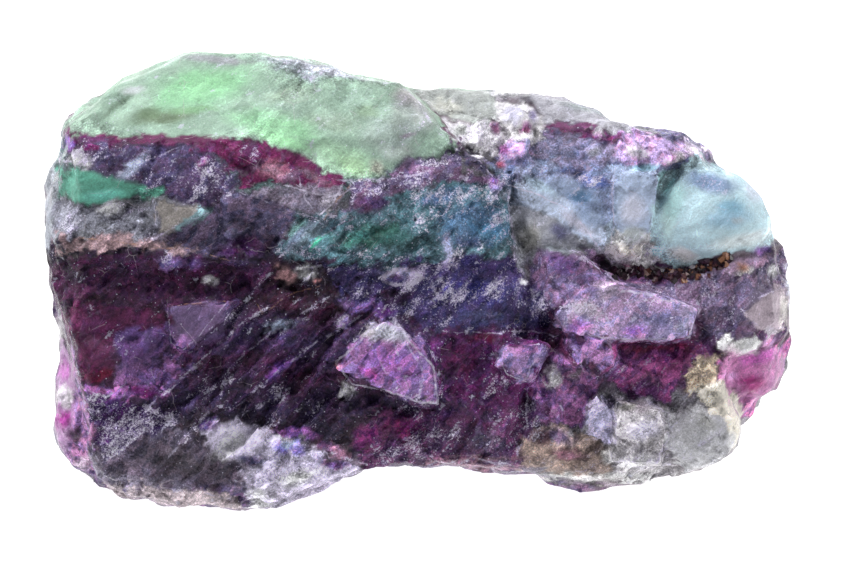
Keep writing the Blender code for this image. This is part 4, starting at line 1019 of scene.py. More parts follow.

# %% [markdown]
# Fine lines finish the drawing: white frosted edges of plates and facets, a few tan threads where
# clay filled a crack, dark gaps between the blocks and a painted shadow under the long plate.

# %% Lines: kind, half width, points
LINES = {
    "cap, right edge": ("white", 0.07, [(-2, 19.6), (-0.4, 18), (0.8, 16.4), (2, 14.8), (3.6, 13)]),
    "cap, rim crack": ("dark", 0.08, [
        (-15, 21.7), (-12, 21.3), (-10, 20.7), (-8, 20.3), (-4, 19.6)]),
    "fibrous band": ("white", 0.12, [(-25, -17.5), (-23.5, -16), (-21, -13)]),
    "knob rim": ("white", 0.06, [(3.5, 13.1), (4.8, 12.6), (6.2, 11.6), (7.2, 10.4)]),
    "boulder, fold": ("dark", 0.1, [(26.6, -12.9), (28.4, -13.4), (29.6, -14.8), (30, -16)]),
    "block, left seam": ("dark", 0.1, [(19.1, -12.4), (19.3, -14), (19, -16)]),
    "chip, left seam": ("dark", 0.08, [(17.4, -12.2), (16.6, -14), (16.1, -15.4)]),
    "rear, ledge": ("dark", 0.1, [(1.8, 16.9), (4.4, 16.7), (7.6, 16)]),
    "plate cracks, left": ("white", 0.05, [(-2, -8), (-1.6, -9.6), (-1.2, -11)]),
    "plate cracks, right": ("white", 0.06, [(1.2, -8.5), (1.5, -10.2), (1.4, -12)]),
    "violet streak": ("white", 0.1, [(-17.5, -13.2), (-15.8, -12.4), (-14.4, -11.6), (-13, -10.8)]),
    "fleck run, left": ("white", 0.1, [(-24.4, -10.2), (-23, -9.2), (-21.8, -8.4)]),
    "fleck run, middle": ("white", 0.1, [(-19.4, -9.2), (-19.8, -11.4)]),
    "fleck run, low": ("white", 0.1, [(-27.4, -12.6), (-25.2, -14)]),
    "ledge under the olive": ("tan", 0.07, [
        (-34.4, 4.2), (-32, 4), (-29.2, 3.6), (-26.4, 3.3), (-23.2, 3.2), (-20.8, 2.4),
        (-19.2, 2)]),
    "olive, dark crack": ("dark", 0.1, [
        (-35.6, 8.9), (-34.6, 7.5), (-32.8, 7.2), (-30, 8), (-27.4, 8.4)]),
    "beige triangle, left": ("white", 0.05, [(-26.7, 8.3), (-26.3, 6), (-27, 4)]),
    "beige triangle, foot": ("white", 0.06, [(-27, 4), (-24.8, 5.2), (-20.8, 7)]),
    "slate, upper edge": ("white", 0.06, [
        (-18, 8.7), (-15.6, 8), (-13.2, 7), (-10.4, 6.2), (-8.4, 6.4)]),
    "glass, fan": ("rim", 0.08, [(-13.4, 9.4), (-10.4, 8.6), (-8.2, 8.4), (-6.4, 9.2)]),
    "glass, fan low": ("rim", 0.08, [(-9.8, 6.6), (-8.6, 7.8), (-7.8, 9.6)]),
    "glass, left": ("rim", 0.08, [(-12, 10.2), (-11.6, 8), (-10, 6.4), (-8.4, 8)]),
    "thread beside the cap": ("tan", 0.1, [(-9.4, 6.2), (-8.2, 8), (-7, 9.4), (-5.8, 10.1)]),
    "thread under the cap": ("white", 0.1, [
        (-8.6, 10.1), (-6, 10), (-3.2, 10.1), (-0.8, 10.5), (2, 10.7), (4.6, 10.2)]),
    "ring, upper": ("rim", 0.2, [(-3.7, 0), (-3, 0.8), (-1.8, 1.1), (-0.6, 0.8), (0.4, 0.2)]),
    "ring, lower": ("rim", 0.16, [(-3.5, -0.2), (-2.4, -0.6), (-1, -0.5), (0.2, 0.1)]),
    "blue ring": ("white", 0.12, [
        (1, -0.6), (1.5, 0.1), (2.4, 0), (3.2, -0.8), (3.4, -1.7), (2.7, -2.2), (1.8, -1.7),
        (1, -0.6)]),
    "teal window, left streak": ("white", 0.08, [(-13.8, 2.6), (-11.4, 4.6), (-9, 6.6)]),
    "teal window, second streak": ("white", 0.07, [(-12.2, 2.4), (-9.8, 4.2), (-7.6, 6)]),
    "seam, white ticks": ("white", 0.07, [(-27.4, 12), (-25.6, 12.6), (-23.8, 13.4)]),
    "flecks, low": ("white", 0.09, [(-24.6, 6.8), (-22.8, 8), (-20.4, 9.8)]),
    "left end": ("white", 0.08, [(-35.8, 12), (-34, 11.6), (-32.4, 12), (-30.6, 12.6)]),
    "vein, upper": ("rim", 0.064, [
        (8.7, 9.5), (11.4, 8.7), (15.2, 6.8), (17.5, 3.8), (19, 1.9)]),
    "ridge thread": ("white", 0.1, [(8.7, 8.6), (9.2, 5.4), (9.4, 2.4), (10.8, -0.4), (11.4, -2)]),
    "panel, left": ("rim", 0.048, [(19.5, 11.2), (19.3, 7), (19.2, 3.8), (18.6, 2.2)]),
    "panel, right": ("dark", 0.06, [(23.9, 10.4), (23.2, 7), (22.8, 3.8)]),
    "nodule, crescent": ("dark", 0.16, [(23.6, 8.6), (24, 9.9), (25.2, 11)]),
    "beak, edge": ("white", 0.07, [(13.3, 3.9), (16, 2.4), (18.2, 1.3), (19.8, -0.4)]),
    "plate, upper edge": ("rim", 0.1, [
        (20.2, -1), (22.6, -1.4), (24, -2), (26, -2.1), (27.9, -2.9)]),
    "plate, second edge": ("white", 0.05, [(20, -2.2), (22.6, -2.1), (25.6, -2.3)]),
    "plate, end": ("rim", 0.08, [(27.9, -2.9), (27.5, -3.9), (26.9, -5.7)]),
    "plate, lower edge": ("rim", 0.07, [(17, -5.6), (19.6, -5.9), (23, -5.9), (26.8, -5.7)]),
    "plate, left band": ("white", 0.09, [(14.2, -2.7), (15.8, -2.5), (17.6, -2.7)]),
    "plate, cross": ("white", 0.05, [(18.4, -2.2), (18.8, -3.8), (19.4, -5.6)]),
    # Painted shadow: a dark line under the long crystal plate.
    "under the plate": ("dark", 0.18, [(15.4, -6), (20, -6.5), (26.6, -6.4), (28.4, -5.4)]),
    "wine top": ("white", 0.06, [(2, -5.1), (7.4, -5.3), (11.4, -5.1), (13.8, -5.6)]),
    "chip, outline": ("rim", 0.056, [
        (7.4, -7.3), (8.8, -9.4), (10.6, -10.2), (11.2, -8.6), (12.2, -7.2)]),
    "rose crystal": ("white", 0.07, [
        (15.3, -6.6), (16.4, -9.1), (18.2, -9.9), (19.4, -8.7), (19, -6.4)]),
    "mauve edge": ("white", 0.07, [(13.4, -8.8), (14.4, -10.6), (14, -12.6), (15.2, -13.8)]),
    "lilac chip": ("white", 0.08, [
        (16.3, -15), (17.8, -12.2), (18.9, -13.2), (19.1, -15.9), (16.4, -16.1)]),
    "block, outline": ("white", 0.07, [
        (19.5, -16.3), (19.6, -12.7), (22.2, -11.8), (25, -13.3), (25, -15.9), (23.6, -18.4)]),
    "corner line": ("white", 0.07, [(10.8, -10.9), (10.7, -14.4), (9.6, -18)]),
    "side facet": ("white", 0.05, [(32.2, -3), (34.4, -5), (36.4, -4.6)]),
    "side facet, top": ("white", 0.05, [(32.2, -3), (34.4, -1.6), (36.2, -0.8)]),
    "wedge, left": ("white", 0.05, [(-25.4, -2.6), (-24.9, -6.2), (-24, -7.1)]),
    "wedge, right": ("white", 0.05, [(-24, -7.1), (-22.5, -6), (-21.2, -4.3), (-19.5, -2.5)]),
    "wedge, top": ("tan", 0.05, [(-25.3, -2.6), (-22, -2.3), (-19.6, -2.2)]),
    "pink streak": ("white", 0.07, [(-33.6, -10.8), (-31.2, -11.7), (-29.7, -10.6), (-29.3, -9.8)]),
    "thread over the ribs": ("tan", 0.07, [
        (-16.4, -2.4), (-15.8, -3.5), (-14, -2.1), (-12.4, -1.2), (-10, -0.7)]),
    "left corner": ("white", 0.06, [
        (-35.2, -4), (-34.7, -7), (-34.2, -9.8), (-33.7, -11.8), (-32.7, -17), (-31.8, -18.8)]),
    "rib, first": ("white", 0.09, [
        (-28.8, -14), (-24.8, -10.9), (-20.8, -7), (-18.8, -5), (-15.6, -3)]),
    "rib, second": ("white", 0.09, [
        (-22.4, -13), (-20, -9.8), (-17.2, -7), (-13.2, -4.2), (-9.2, -1.8)]),
    "rib, third": ("white", 0.09, [
        (-18.8, -13), (-15.6, -10.2), (-12, -7.4), (-8.4, -5), (-6, -3.6)]),
    "rib gap, first": ("dark", 0.2, [
        (-27, -13.8), (-23, -10.4), (-19.4, -7), (-16.6, -4.8), (-13, -3)]),
    "rib gap, second": ("dark", 0.22, [
        (-20.8, -13.4), (-18, -9.8), (-14.8, -7), (-10.8, -4.4), (-7.6, -2.6)]),
    "rib gap, third": ("dark", 0.2, [(-16.2, -13), (-13, -10.2), (-9.6, -8), (-7.6, -6)]),
    "foot, glass edge": ("white", 0.07, [(-11.6, -17.1), (-8.4, -17.3), (-5.6, -18.4)]),
    "foot, ridge": ("white", 0.08, [(-17.9, -22.6), (-17.4, -20), (-18, -18.2), (-20.6, -16.8)]),
    "foot, yellow fibre": ("tan", 0.06, [(-16.8, -16.6), (-15.4, -15.2), (-14.4, -14.2)]),
    "lower left, edge": ("white", 0.07, [
        (-32, -19), (-30.8, -19.9), (-27.6, -20.3), (-24.8, -21), (-18.8, -22)]),
    "lilac plate, outline": ("rim", 0.09, [
        (-8.4, -8.2), (-6, -6.2), (-4.8, -4.6), (-2.4, -4), (-0.8, -6.4), (1.2, -8.6),
        (1.8, -12.4), (-0.4, -12.2), (-3.6, -11), (-6.8, -10.4), (-8.4, -8.2)]),
    "lilac plate, crack left": ("white", 0.07, [
        (-4.8, -6.6), (-3.4, -9.2), (0.6, -10), (1.6, -10.8)]),
    "lilac plate, crack middle": ("white", 0.07, [(-2.8, -5), (-2, -8.2), (-2.8, -11.2)]),
    "lilac plate, crack right": ("white", 0.08, [(-1.2, -6.4), (0.3, -9), (-0.2, -12)]),
    "lilac plate, chip": ("white", 0.08, [(-8.2, -10.2), (-7.3, -12.2), (-6.4, -10.8)]),
    "crust, ring": ("rim", 0.1, [(-4, 0.2), (-2.6, 1.1), (-0.6, 1), (0.2, 0.2), (-1.4, -0.3)]),
    "bottom edge, stripe": ("white", 0.08, [(1, -18.5), (5.6, -17.9), (9, -18.4)]),
    "bottom edge, gap": ("dark", 0.1, [(1.6, -18.1), (6, -17.5), (9.4, -18)]),
}

# %% [markdown]
# To paint, every point asks each patch how far inside its border it lies. A point on the sides of
# the stone is out of the eye's sight, so the patches fade there, and the coloured layers of the
# material go on round the stone alone.

# %% Paint the patches
def from_segment(seen, start, end):
    """The way from start to end, each place's offset from the start and distance to the way."""
    side = np.subtract(end, start)
    offset = seen - np.array(start)
    share = np.clip(offset @ side / (side @ side), 0, 1)
    return side, offset, np.linalg.norm(offset - share[:, None] * side, axis=1)


def border_distance(seen, outline):
    """How far inside an outline each place lies, in millimetres; outside is negative."""
    nearest = np.full(len(seen), np.inf)
    inside = np.zeros(len(seen), dtype=bool)
    for start, end in zip(outline, outline[1:] + outline[:1]):
        side, _, distance = from_segment(seen, start, end)
        nearest = np.minimum(nearest, distance)
        crosses = (start[1] > seen[:, 1]) != (end[1] > seen[:, 1])
        rise = side[1] if side[1] else 1.0
        inside ^= crosses & (seen[:, 0] < start[0] + side[0] * (seen[:, 1] - start[1]) / rise)
    return np.where(inside, nearest, -nearest)


def spot_share(seen, middle, reach, turn):
    """1 at a spot's middle, falling softly to 0 at its edge."""
    along, across = along_and_across(seen - middle, math.radians(turn))
    distance = np.hypot(along / reach[0], across / reach[1])
    return smooth_step(1.25, 0.35, distance)


def blend(first, second, share):
    """The first where the share is 0 and the second where it is 1."""
    return first * (1 - share) + second * share


def tint(colour):
    """A colour given from 0 to 255 as the eye sees it, in the linear values that light uses."""
    share = np.array(colour) / 255
    return np.where(share <= 0.04045, share / 12.92, ((share + 0.055) / 1.055) ** 2.4)


def line_offset(seen, kind):
    """How many half widths each place lies across the nearest line, and 9 where it is far off.

    The first number changes its sign on the line, so between two points of the mesh the line
    keeps its place, and the material can draw it finer than the mesh.
    """
    nearest = np.full(len(seen), np.inf)
    across = np.zeros(len(seen))
    for half_width, points in [line[1:] for line in LINES.values() if line[0] == kind]:
        for start, end in zip(points, points[1:]):
            side, offset, distance = from_segment(seen, start, end)
            left = np.sign(side[0] * offset[:, 1] - side[1] * offset[:, 0])
            across = np.where(distance < nearest, left * distance / half_width, across)
            nearest = np.minimum(nearest, distance)
    return np.column_stack((across, 9 * smooth_step(0.3, 0.5, nearest), np.zeros(len(seen))))


STORED_AS = {1: ("FLOAT", "value"), 3: ("FLOAT_VECTOR", "vector"), 4: ("FLOAT_COLOR", "color")}


def store(mesh, name, values):
    """Keeps a number, a vector or a colour with its cover at every point of the mesh."""
    width = 1 if values.ndim == 1 else values.shape[1]
    kind, field = STORED_AS[width]
    attribute = mesh.attributes.new(name, kind, "POINT")
    attribute.data.foreach_set(field, values.astype(np.float32).ravel())


places = on_face(points_of(skin))
splinters = sheared(places, SPLINTER_STRETCH)
shear = shear_share(as_seen(places))[:, None]
relief, contrast = calm_shares(as_seen(places))
large_chance = facets(places, *LARGE_FACETS)[1]
long_chance = facets(splinters, *LONG_FACETS)[1]
small_chance = facets(places, *SMALL_FACETS)[1]
facet_chance = blend(large_chance, long_chance, shear)
tear = (0.55 * facet_chance + 0.3 * small_chance)[:, :2]
streaked = sheared(places, 2.0)
for size, reach, seed in ((5.0, 0.5, 10), (1.3, 0.4, 20), (0.5, 0.3, 30)):
    tear[:, 0] += reach * 1.3 * noise_field(streaked, size, seed)
    tear[:, 1] += reach * noise_field(streaked, size, seed + 5)
tear *= 0.35 + 0.65 * relief[:, None]


def frayed(size):
    """Torn places for a patch of this size: a small one is torn less, so that it stays in place."""
    return as_seen(places) + min(1.0, 0.25 + 0.4 * size) * tear


paint = np.zeros((len(places), 4))
PLAIN_FROST = 0.35
frost = np.full(len(places), PLAIN_FROST)
layers = [
    (colour, white, smooth_step(-0.6 * soft, 0.6 * soft, border_distance(frayed(1.6), outline)))
    for colour, white, soft, outline in AREAS.values()
]
layers += [
    (colour, white, 0.9 * spot_share(frayed(min(reach)), middle, reach, turn))
    for colour, white, middle, reach, turn in SPOTS.values()
]
for colour, white, cover in layers:
    paint[:, :3] = blend(paint[:, :3], tint(colour), cover[:, None])
    paint[:, 3] = 1 - (1 - paint[:, 3]) * (1 - cover)
    frost = blend(frost, white, cover)
patchy = smooth_step(-0.28, 0.12, noise_field(splinters, 0.9, 90))
for white, middle, reach, turn in VEILS.values():
    cover = spot_share(frayed(1.0), middle, reach, turn)
    if white > 0.3:
        cover = cover * patchy
    frost = blend(frost, white, cover)
in_sight = smooth_step(-0.05, 0.25, facing_eye(skin))
paint[:, 3] *= in_sight
frost = PLAIN_FROST + (frost - PLAIN_FROST) * in_sight
print(len(AREAS), "areas,", len(SPOTS), "spots and", len(VEILS), "veils")
print("They cover", round(float(paint[:, 3].mean()), 2), "of the points")

# %% [markdown]
# More values help the material. The facet shading is painted light and shade: it says how pale or
# dark a facet is, since each facet of crystal sends the light its own way, and on the ribs of the
# lower left it is painted lighter where a rib stands high and darker at its foot. The edge wear is
# high on sharp edges, where crushed crystal is white, and the material paints these edges as lit
# too: a point stands out there, so it lies further out than the mean of its neighbours. In a hollow
# it lies further in, and the material paints a hollow in shade.

# %% Store the values on the mesh
mean_place = neighbour_mean(skin, points_of(skin))
bulge = np.sum((points_of(skin) - mean_place) * normals_of(skin), axis=1) / SKIN_CELL
bulge = neighbour_mean(skin, bulge)
store(skin, "patch_tint", paint)
store(skin, "patch_frost", frost)
# Painted light and shade: each facet paler or darker by its own tilt, each rib lighter where it
# stands high.
rib_shading = 0.6 * rib_rise(places)
store(skin, "facet_shading", 0.6 * facet_chance[:, 0] + 0.4 * small_chance[:, 0] + rib_shading)
store(skin, "worn_and_lit_edges", smooth_step(0.08, 0.3, bulge))
store(skin, "hollow_shade", smooth_step(0.03, 0.16, -bulge))
store(skin, "relief", relief)
store(skin, "contrast", contrast)
drawn = as_seen(places)
drawn[:, 0] += 0.14 * noise_field(places, 0.9, 60) + 0.2 * noise_field(places, 2.5, 62)
drawn[:, 1] += 0.14 * noise_field(places, 0.9, 64) + 0.2 * noise_field(places, 2.5, 66)
for kind in ("white", "tan", "dark", "rim"):
    offset = line_offset(drawn, kind)
    offset[:, 1] = np.maximum(offset[:, 1], 9 * (1 - in_sight))
    store(skin, kind + "_line", offset)
print(len(LINES), "lines")
print("Edge wear covers", round(float((bulge > 0.09).mean()), 3), "of the skin")

# %% [markdown]
# ## Helpers for materials
#
# A material is a tree of nodes. These helpers add one node and wire its inputs in one line: an
# input can be a number, a colour or the output of another node. Groups hold the effects that
# repeat, and put out only masks, heights and tones; the shader itself stays in the material.

# %% Node helpers
def wire(tree, value, socket):
    """Links an output to a socket, or sets the socket to a plain value."""
    if isinstance(value, bpy.types.NodeSocket):
        tree.links.new(value, socket)
    else:
        socket.default_value = value


def maths(tree, operation, first, second=0.0, third=0.0):
    """The output of a Math node."""
    node = tree.nodes.new("ShaderNodeMath")
    node.operation = operation
    for value, socket in zip((first, second, third), node.inputs):
        wire(tree, value, socket)
    return node.outputs[0]


def vectors(tree, operation, first, second=(0.0, 0.0, 0.0)):
    """The output of a Vector Math node."""
    node = tree.nodes.new("ShaderNodeVectorMath")
    node.operation = operation
    wire(tree, first, node.inputs[0])
    if operation == "SCALE":
        wire(tree, second, node.inputs["Scale"])
    else:
        wire(tree, second, node.inputs[1])
    return node.outputs["Value" if operation in ("DOT_PRODUCT", "LENGTH") else "Vector"]


def stepped(tree, value, low, high):
    """A soft step from 0 at low to 1 at high."""
    node = tree.nodes.new("ShaderNodeMapRange")
    node.interpolation_type = "SMOOTHSTEP"
    wire(tree, value, node.inputs["Value"])
    wire(tree, low, node.inputs["From Min"])
    wire(tree, high, node.inputs["From Max"])
    return node.outputs["Result"]


def mixed(tree, share, first, second):
    """Two colours mixed by a share from 0 to 1."""
    node = tree.nodes.new("ShaderNodeMix")
    node.data_type = "RGBA"
    wire(tree, share, node.inputs["Factor"])
    first_colour, second_colour = [socket for socket in node.inputs if socket.type == "RGBA"]
    wire(tree, first, first_colour)
    wire(tree, second, second_colour)
    return next(socket for socket in node.outputs if socket.type == "RGBA")


def cloud(tree, place, scale, detail=4.0, rough=0.6):
    """The Noise texture at a place, as its value and its colour."""
    node = tree.nodes.new("ShaderNodeTexNoise")
    wire(tree, place, node.inputs["Vector"])
    wire(tree, scale, node.inputs["Scale"])
    node.inputs["Detail"].default_value = detail
    node.inputs["Roughness"].default_value = rough
    return node.outputs[0], node.outputs["Color"]


def stored(tree, name, output="Fac"):
    """A value that was stored on the mesh's points."""
    node = tree.nodes.new("ShaderNodeAttribute")
    node.attribute_name = name
    return node.outputs[output]


def times(tree, first, second):
    """One value times another."""
    return maths(tree, "MULTIPLY", first, second)


def added(tree, value, share, base=0.0):
    """A value times a share, added to a base."""
    return maths(tree, "MULTIPLY_ADD", value, share, base)


def centred(tree, value):
    """A value from 0 to 1, moved to lie from -0.5 to 0.5."""
    return maths(tree, "SUBTRACT", value, 0.5)


def opaque(colour):
    """A colour from 0 to 255 as a socket value."""
    return (*tint(colour), 1.0)


def new_group(name, inputs, outputs):
    """An empty node group with named inputs and outputs."""
    group = bpy.data.node_groups.new(name, "ShaderNodeTree")
    for label, kind, value in inputs:
        socket = group.interface.new_socket(label, in_out="INPUT", socket_type=kind)
        if value is not None:
            socket.default_value = value
    for label, kind in outputs:
        group.interface.new_socket(label, in_out="OUTPUT", socket_type=kind)
    given = group.nodes.new("NodeGroupInput").outputs
    return group, given, group.nodes.new("NodeGroupOutput").inputs


def placed_group(tree, group, **values):
    """A group placed in a material, with its inputs wired; an underscore stands for a space."""
    node = tree.nodes.new("ShaderNodeGroup")
    node.node_tree = group
    for name, value in values.items():
        wire(tree, value, node.inputs[name.replace("_", " ")])
    return node.outputs


print("Helpers ready")

# %% [markdown]
# ## Group: broken facets
#
# The same facets as in the geometry, but finer than the mesh can hold. A Voronoi cell gives its
# middle and a random colour. The colour is used as a direction, and the height is how far the
# place lies along it, so each cell is a flat, tilted facet. The colour also gives each cell a
# painted shading of its own, paler or darker as if the facet sent the light its own way. Its
# border is a fine crack.

# %% Broken facets
VECTOR, FLOAT = "NodeSocketVector", "NodeSocketFloat"


def build_facet_group():
    """Heights, painted shading and cracks of small flat facets."""
    group, given, result = new_group(
        "Broken facets",
        [("Place", VECTOR, None), ("Facet Size", FLOAT, 1.0), ("Crack Width", FLOAT, 0.05)],
        [("Height", FLOAT), ("Tone", FLOAT), ("Crack", FLOAT)],
    )
    bend = cloud(group, given["Place"], 1.8, 2.0)[1]
    bent = vectors(group, "ADD", given["Place"], vectors(group, "SCALE", bend, 0.16))
    scaled = vectors(group, "SCALE", bent, maths(group, "DIVIDE", 1.0, given["Facet Size"]))
    cells = group.nodes.new("ShaderNodeTexVoronoi")
    cells.inputs["Scale"].default_value = 1.0
    borders = group.nodes.new("ShaderNodeTexVoronoi")
    borders.feature = "DISTANCE_TO_EDGE"
    borders.inputs["Scale"].default_value = 1.0
    group.links.new(scaled, cells.inputs["Vector"])
    group.links.new(scaled, borders.inputs["Vector"])
    from_middle = vectors(group, "SUBTRACT", scaled, cells.outputs["Position"])
    tilt = vectors(group, "SUBTRACT", cells.outputs["Color"], (0.5, 0.5, 0.5))
    slope = times(group, vectors(group, "DOT_PRODUCT", from_middle, tilt), 1.6)
    split = group.nodes.new("ShaderNodeSeparateXYZ")
    group.links.new(tilt, split.inputs["Vector"])
    raised = maths(group, "ADD", slope, times(group, split.outputs["X"], 0.5))
    group.links.new(times(group, raised, given["Facet Size"]), result["Height"])
    group.links.new(times(group, split.outputs["Y"], 2.0), result["Tone"])
    crack = stepped(group, borders.outputs["Distance"], given["Crack Width"], 0.0)
    group.links.new(crack, result["Crack"])
    return group


broken_facets = build_facet_group()
print("Broken facets:", len(broken_facets.nodes), "nodes")

# %% [markdown]
# ## Group: frost
#
# Crushed fluorite is white, as crushed ice is. It lies in clumps and veils that follow the shear,
# and these are made of grains a tenth of a millimetre across. So three noises are added, from
# clumps to grains, and all that rises over a threshold is frost. The amount lowers the threshold.
# Round the thick frost lies thin frost, a blue haze like thin milk over the dark crystal.

# %% Frost
def build_frost_group():
    """Masks of thick frost and of the thin haze round it; the amount is about the share covered."""
    group, given, result = new_group(
        "Frost",
        [("Place", VECTOR, None), ("Streaked", VECTOR, None), ("Amount", FLOAT, 0.4)],
        [("Mask", FLOAT), ("Haze", FLOAT), ("Grain", FLOAT)],
    )
    clumps = cloud(group, given["Streaked"], 0.3, 3.0, 0.6)[0]
    veils = cloud(group, given["Streaked"], 1.15, 5.0, 0.7)[0]
    grains = cloud(group, given["Place"], 4.6, 3.0, 0.8)[0]
    level = times(group, clumps, 0.33)
    level = added(group, veils, 0.33, level)
    level = added(group, grains, 0.34, level)
    threshold = added(group, given["Amount"], -0.17, 0.63)
    mask = stepped(group, level, threshold, maths(group, "ADD", threshold, 0.065))
    haze = stepped(group, level, maths(group, "SUBTRACT", threshold, 0.08), threshold)
    group.links.new(mask, result["Mask"])
    group.links.new(haze, result["Haze"])
    group.links.new(grains, result["Grain"])
    return group


frost_group = build_frost_group()
print("Frost:", len(frost_group.nodes), "nodes")

# %% [markdown]
# ## The material of the stone
#
# Object coordinates are turned to the face and scaled to millimetres with a Mapping node. Coloured
# layers cross the whole stone: two Color Ramps, one for each half, read how high up the face a
# place lies, after noise has bent it. The painted patches lie over them. Then come the painted
# light and shade of the facets, the painted shade of the hollows, the haze and the bright grains
# of the frost, the drawn lines, worn edges and facet borders that are also painted as lit, fine
# cracks, and white specks with painted glints among them. The same masks drive roughness and
# bump, because frost is dull and cleaved crystal shines.

# %% The coloured layers
LEFT_LAYERS = {
    26: (196, 214, 200), 19: (168, 200, 176), 15.4: (164, 200, 172), 14.7: (92, 44, 74),
    13.2: (100, 56, 86), 12.2: (84, 74, 100), 9.8: (96, 128, 128), 7.6: (122, 122, 130),
    4.2: (132, 118, 132), 2.8: (56, 40, 62), 0: (30, 18, 28), -3: (64, 34, 54),
    -7: (76, 58, 96), -10: (74, 40, 70), -13: (66, 50, 80), -16.5: (50, 42, 52),
    -20: (112, 100, 114), -22.5: (152, 146, 164), -25: (110, 86, 128), -29: (74, 46, 84),
    -33: (120, 96, 130), -37: (160, 156, 176),
}
RIGHT_LAYERS = {
    26: (200, 208, 202), 17: (188, 192, 190), 15.6: (170, 166, 176), 14.8: (88, 52, 80),
    13.4: (112, 106, 138), 11: (120, 130, 164), 7: (134, 156, 178), 3: (158, 166, 176),
    1.4: (130, 116, 126), 0.4: (70, 46, 70), -3: (70, 50, 80), -6.4: (100, 68, 100),
    -8: (86, 46, 76), -11: (100, 68, 96), -13: (140, 138, 146), -19: (166, 162, 168),
    -23: (190, 180, 184), -26: (130, 102, 142), -30: (92, 60, 98), -34: (140, 126, 150),
    -38: (178, 178, 188),
}
LAYERS_LOW, LAYERS_HIGH = -38.0, 26.0


def colour_ramp(tree, shades, position):
    """A Color Ramp with these colours, from 0 to 255, at these positions from 0 to 1."""
    node = tree.nodes.new("ShaderNodeValToRGB")
    stops = node.color_ramp.elements
    while len(stops) < len(shades):
        stops.new(0.5)
    for stop, place in zip(stops, shades):
        stop.position = place
    for stop, shade in zip(stops, shades.values()):
        stop.color = opaque(shade)
    tree.links.new(position, node.inputs["Fac"])
    return node.outputs["Color"]


def layer_ramp(tree, layers, position):
    """A Color Ramp whose stops lie at heights on the face."""
    span = LAYERS_HIGH - LAYERS_LOW
    shades = {(height - LAYERS_LOW) / span: layers[height] for height in sorted(layers)}
    return colour_ramp(tree, shades, position)


def soft_jolt(tree, place, scale, detail, reach):
    """A random vector that changes softly from place to place."""
    about_zero = vectors(tree, "SUBTRACT", cloud(tree, place, scale, detail)[1], (0.5, 0.5, 0.5))
    return vectors(tree, "SCALE", about_zero, reach)


def layered_colour(tree, place, streaked):
    """The colour of the mineral's layers at a place."""
    bent = vectors(tree, "ADD", place, soft_jolt(tree, place, 0.11, 3.0, 6.0))
    bent = vectors(tree, "ADD", bent, soft_jolt(tree, streaked, 0.6, 4.0, 2.4))
    height = vectors(tree, "DOT_PRODUCT", bent, (0.03, 1.0, 0.3))
    climb = maths(tree, "SUBTRACT", height, LAYERS_LOW)
    share = maths(tree, "DIVIDE", climb, LAYERS_HIGH - LAYERS_LOW)
    side = vectors(tree, "DOT_PRODUCT", bent, (1.0, 0.22, 0.0))
    right_half = stepped(tree, side, 8.5, 11.5)
    left = layer_ramp(tree, LEFT_LAYERS, share)
    right = layer_ramp(tree, RIGHT_LAYERS, share)
    return mixed(tree, right_half, left, right)


print("Layers:", len(LEFT_LAYERS), "on the left and", len(RIGHT_LAYERS), "on the right")

# %% Place, layers, patches and frost in one tree
def face_place(tree):
    """Object coordinates turned to the face, in millimetres."""
    coordinates = tree.nodes.new("ShaderNodeTexCoord")
    mapping = tree.nodes.new("ShaderNodeMapping")
    mapping.inputs["Location"].default_value = PART_TO_FACE.translation
    mapping.inputs["Rotation"].default_value = (-FACE_LEAN, 0, 0)
    mapping.inputs["Scale"].default_value = (1 / MM, 1 / MM, 1 / MM)
    tree.links.new(coordinates.outputs["Object"], mapping.inputs["Vector"])
    return mapping.outputs["Vector"]


def streaked_place(tree, place, stretch):
    """The place turned into the shear's direction and squeezed along it."""
    turn = tree.nodes.new("ShaderNodeMapping")
    turn.inputs["Rotation"].default_value = (0, 0, -SHEAR_TURN)
    tree.links.new(place, turn.inputs["Vector"])
    return vectors(tree, "MULTIPLY", turn.outputs["Vector"], (1 / stretch, 1.0, 1.0))


def drawn_line(tree, name, jitter, strength, colour, line_colour):
    """Draws the stored lines of one kind over a colour; the jitter roughens and breaks them."""
    reach = vectors(tree, "LENGTH", stored(tree, name, "Vector"))
    width = added(tree, jitter, 4.4, -1.2)
    inside = stepped(tree, maths(tree, "SUBTRACT", reach, width), 0.35, -0.35)
    return mixed(tree, times(tree, inside, strength), colour, opaque(line_colour))


def fleck_mask(tree, place, scale, size, chance):
    """Flecks in the middles of some Voronoi cells; the chance says how many cells have one."""
    cells = tree.nodes.new("ShaderNodeTexVoronoi")
    cells.inputs["Scale"].default_value = scale
    tree.links.new(place, cells.inputs["Vector"])
    draw = vectors(tree, "DOT_PRODUCT", cells.outputs["Color"], (1.0, 0.0, 0.0))
    chosen = stepped(tree, maths(tree, "ADD", draw, chance), 0.95, 1.05)
    return times(tree, chosen, stepped(tree, cells.outputs["Distance"], size, size * 0.5))


FROST_TINT = (214, 197, 255)
BRIGHTEST_FROST = (0.9, 0.87, 1.0)
FLUORITE_IOR = 1.434


def new_material(name):
    """A new material, its node tree and its Principled BSDF."""
    material = bpy.data.materials.new(name)
    material.use_nodes = True
    return material, material.node_tree, material.node_tree.nodes["Principled BSDF"]


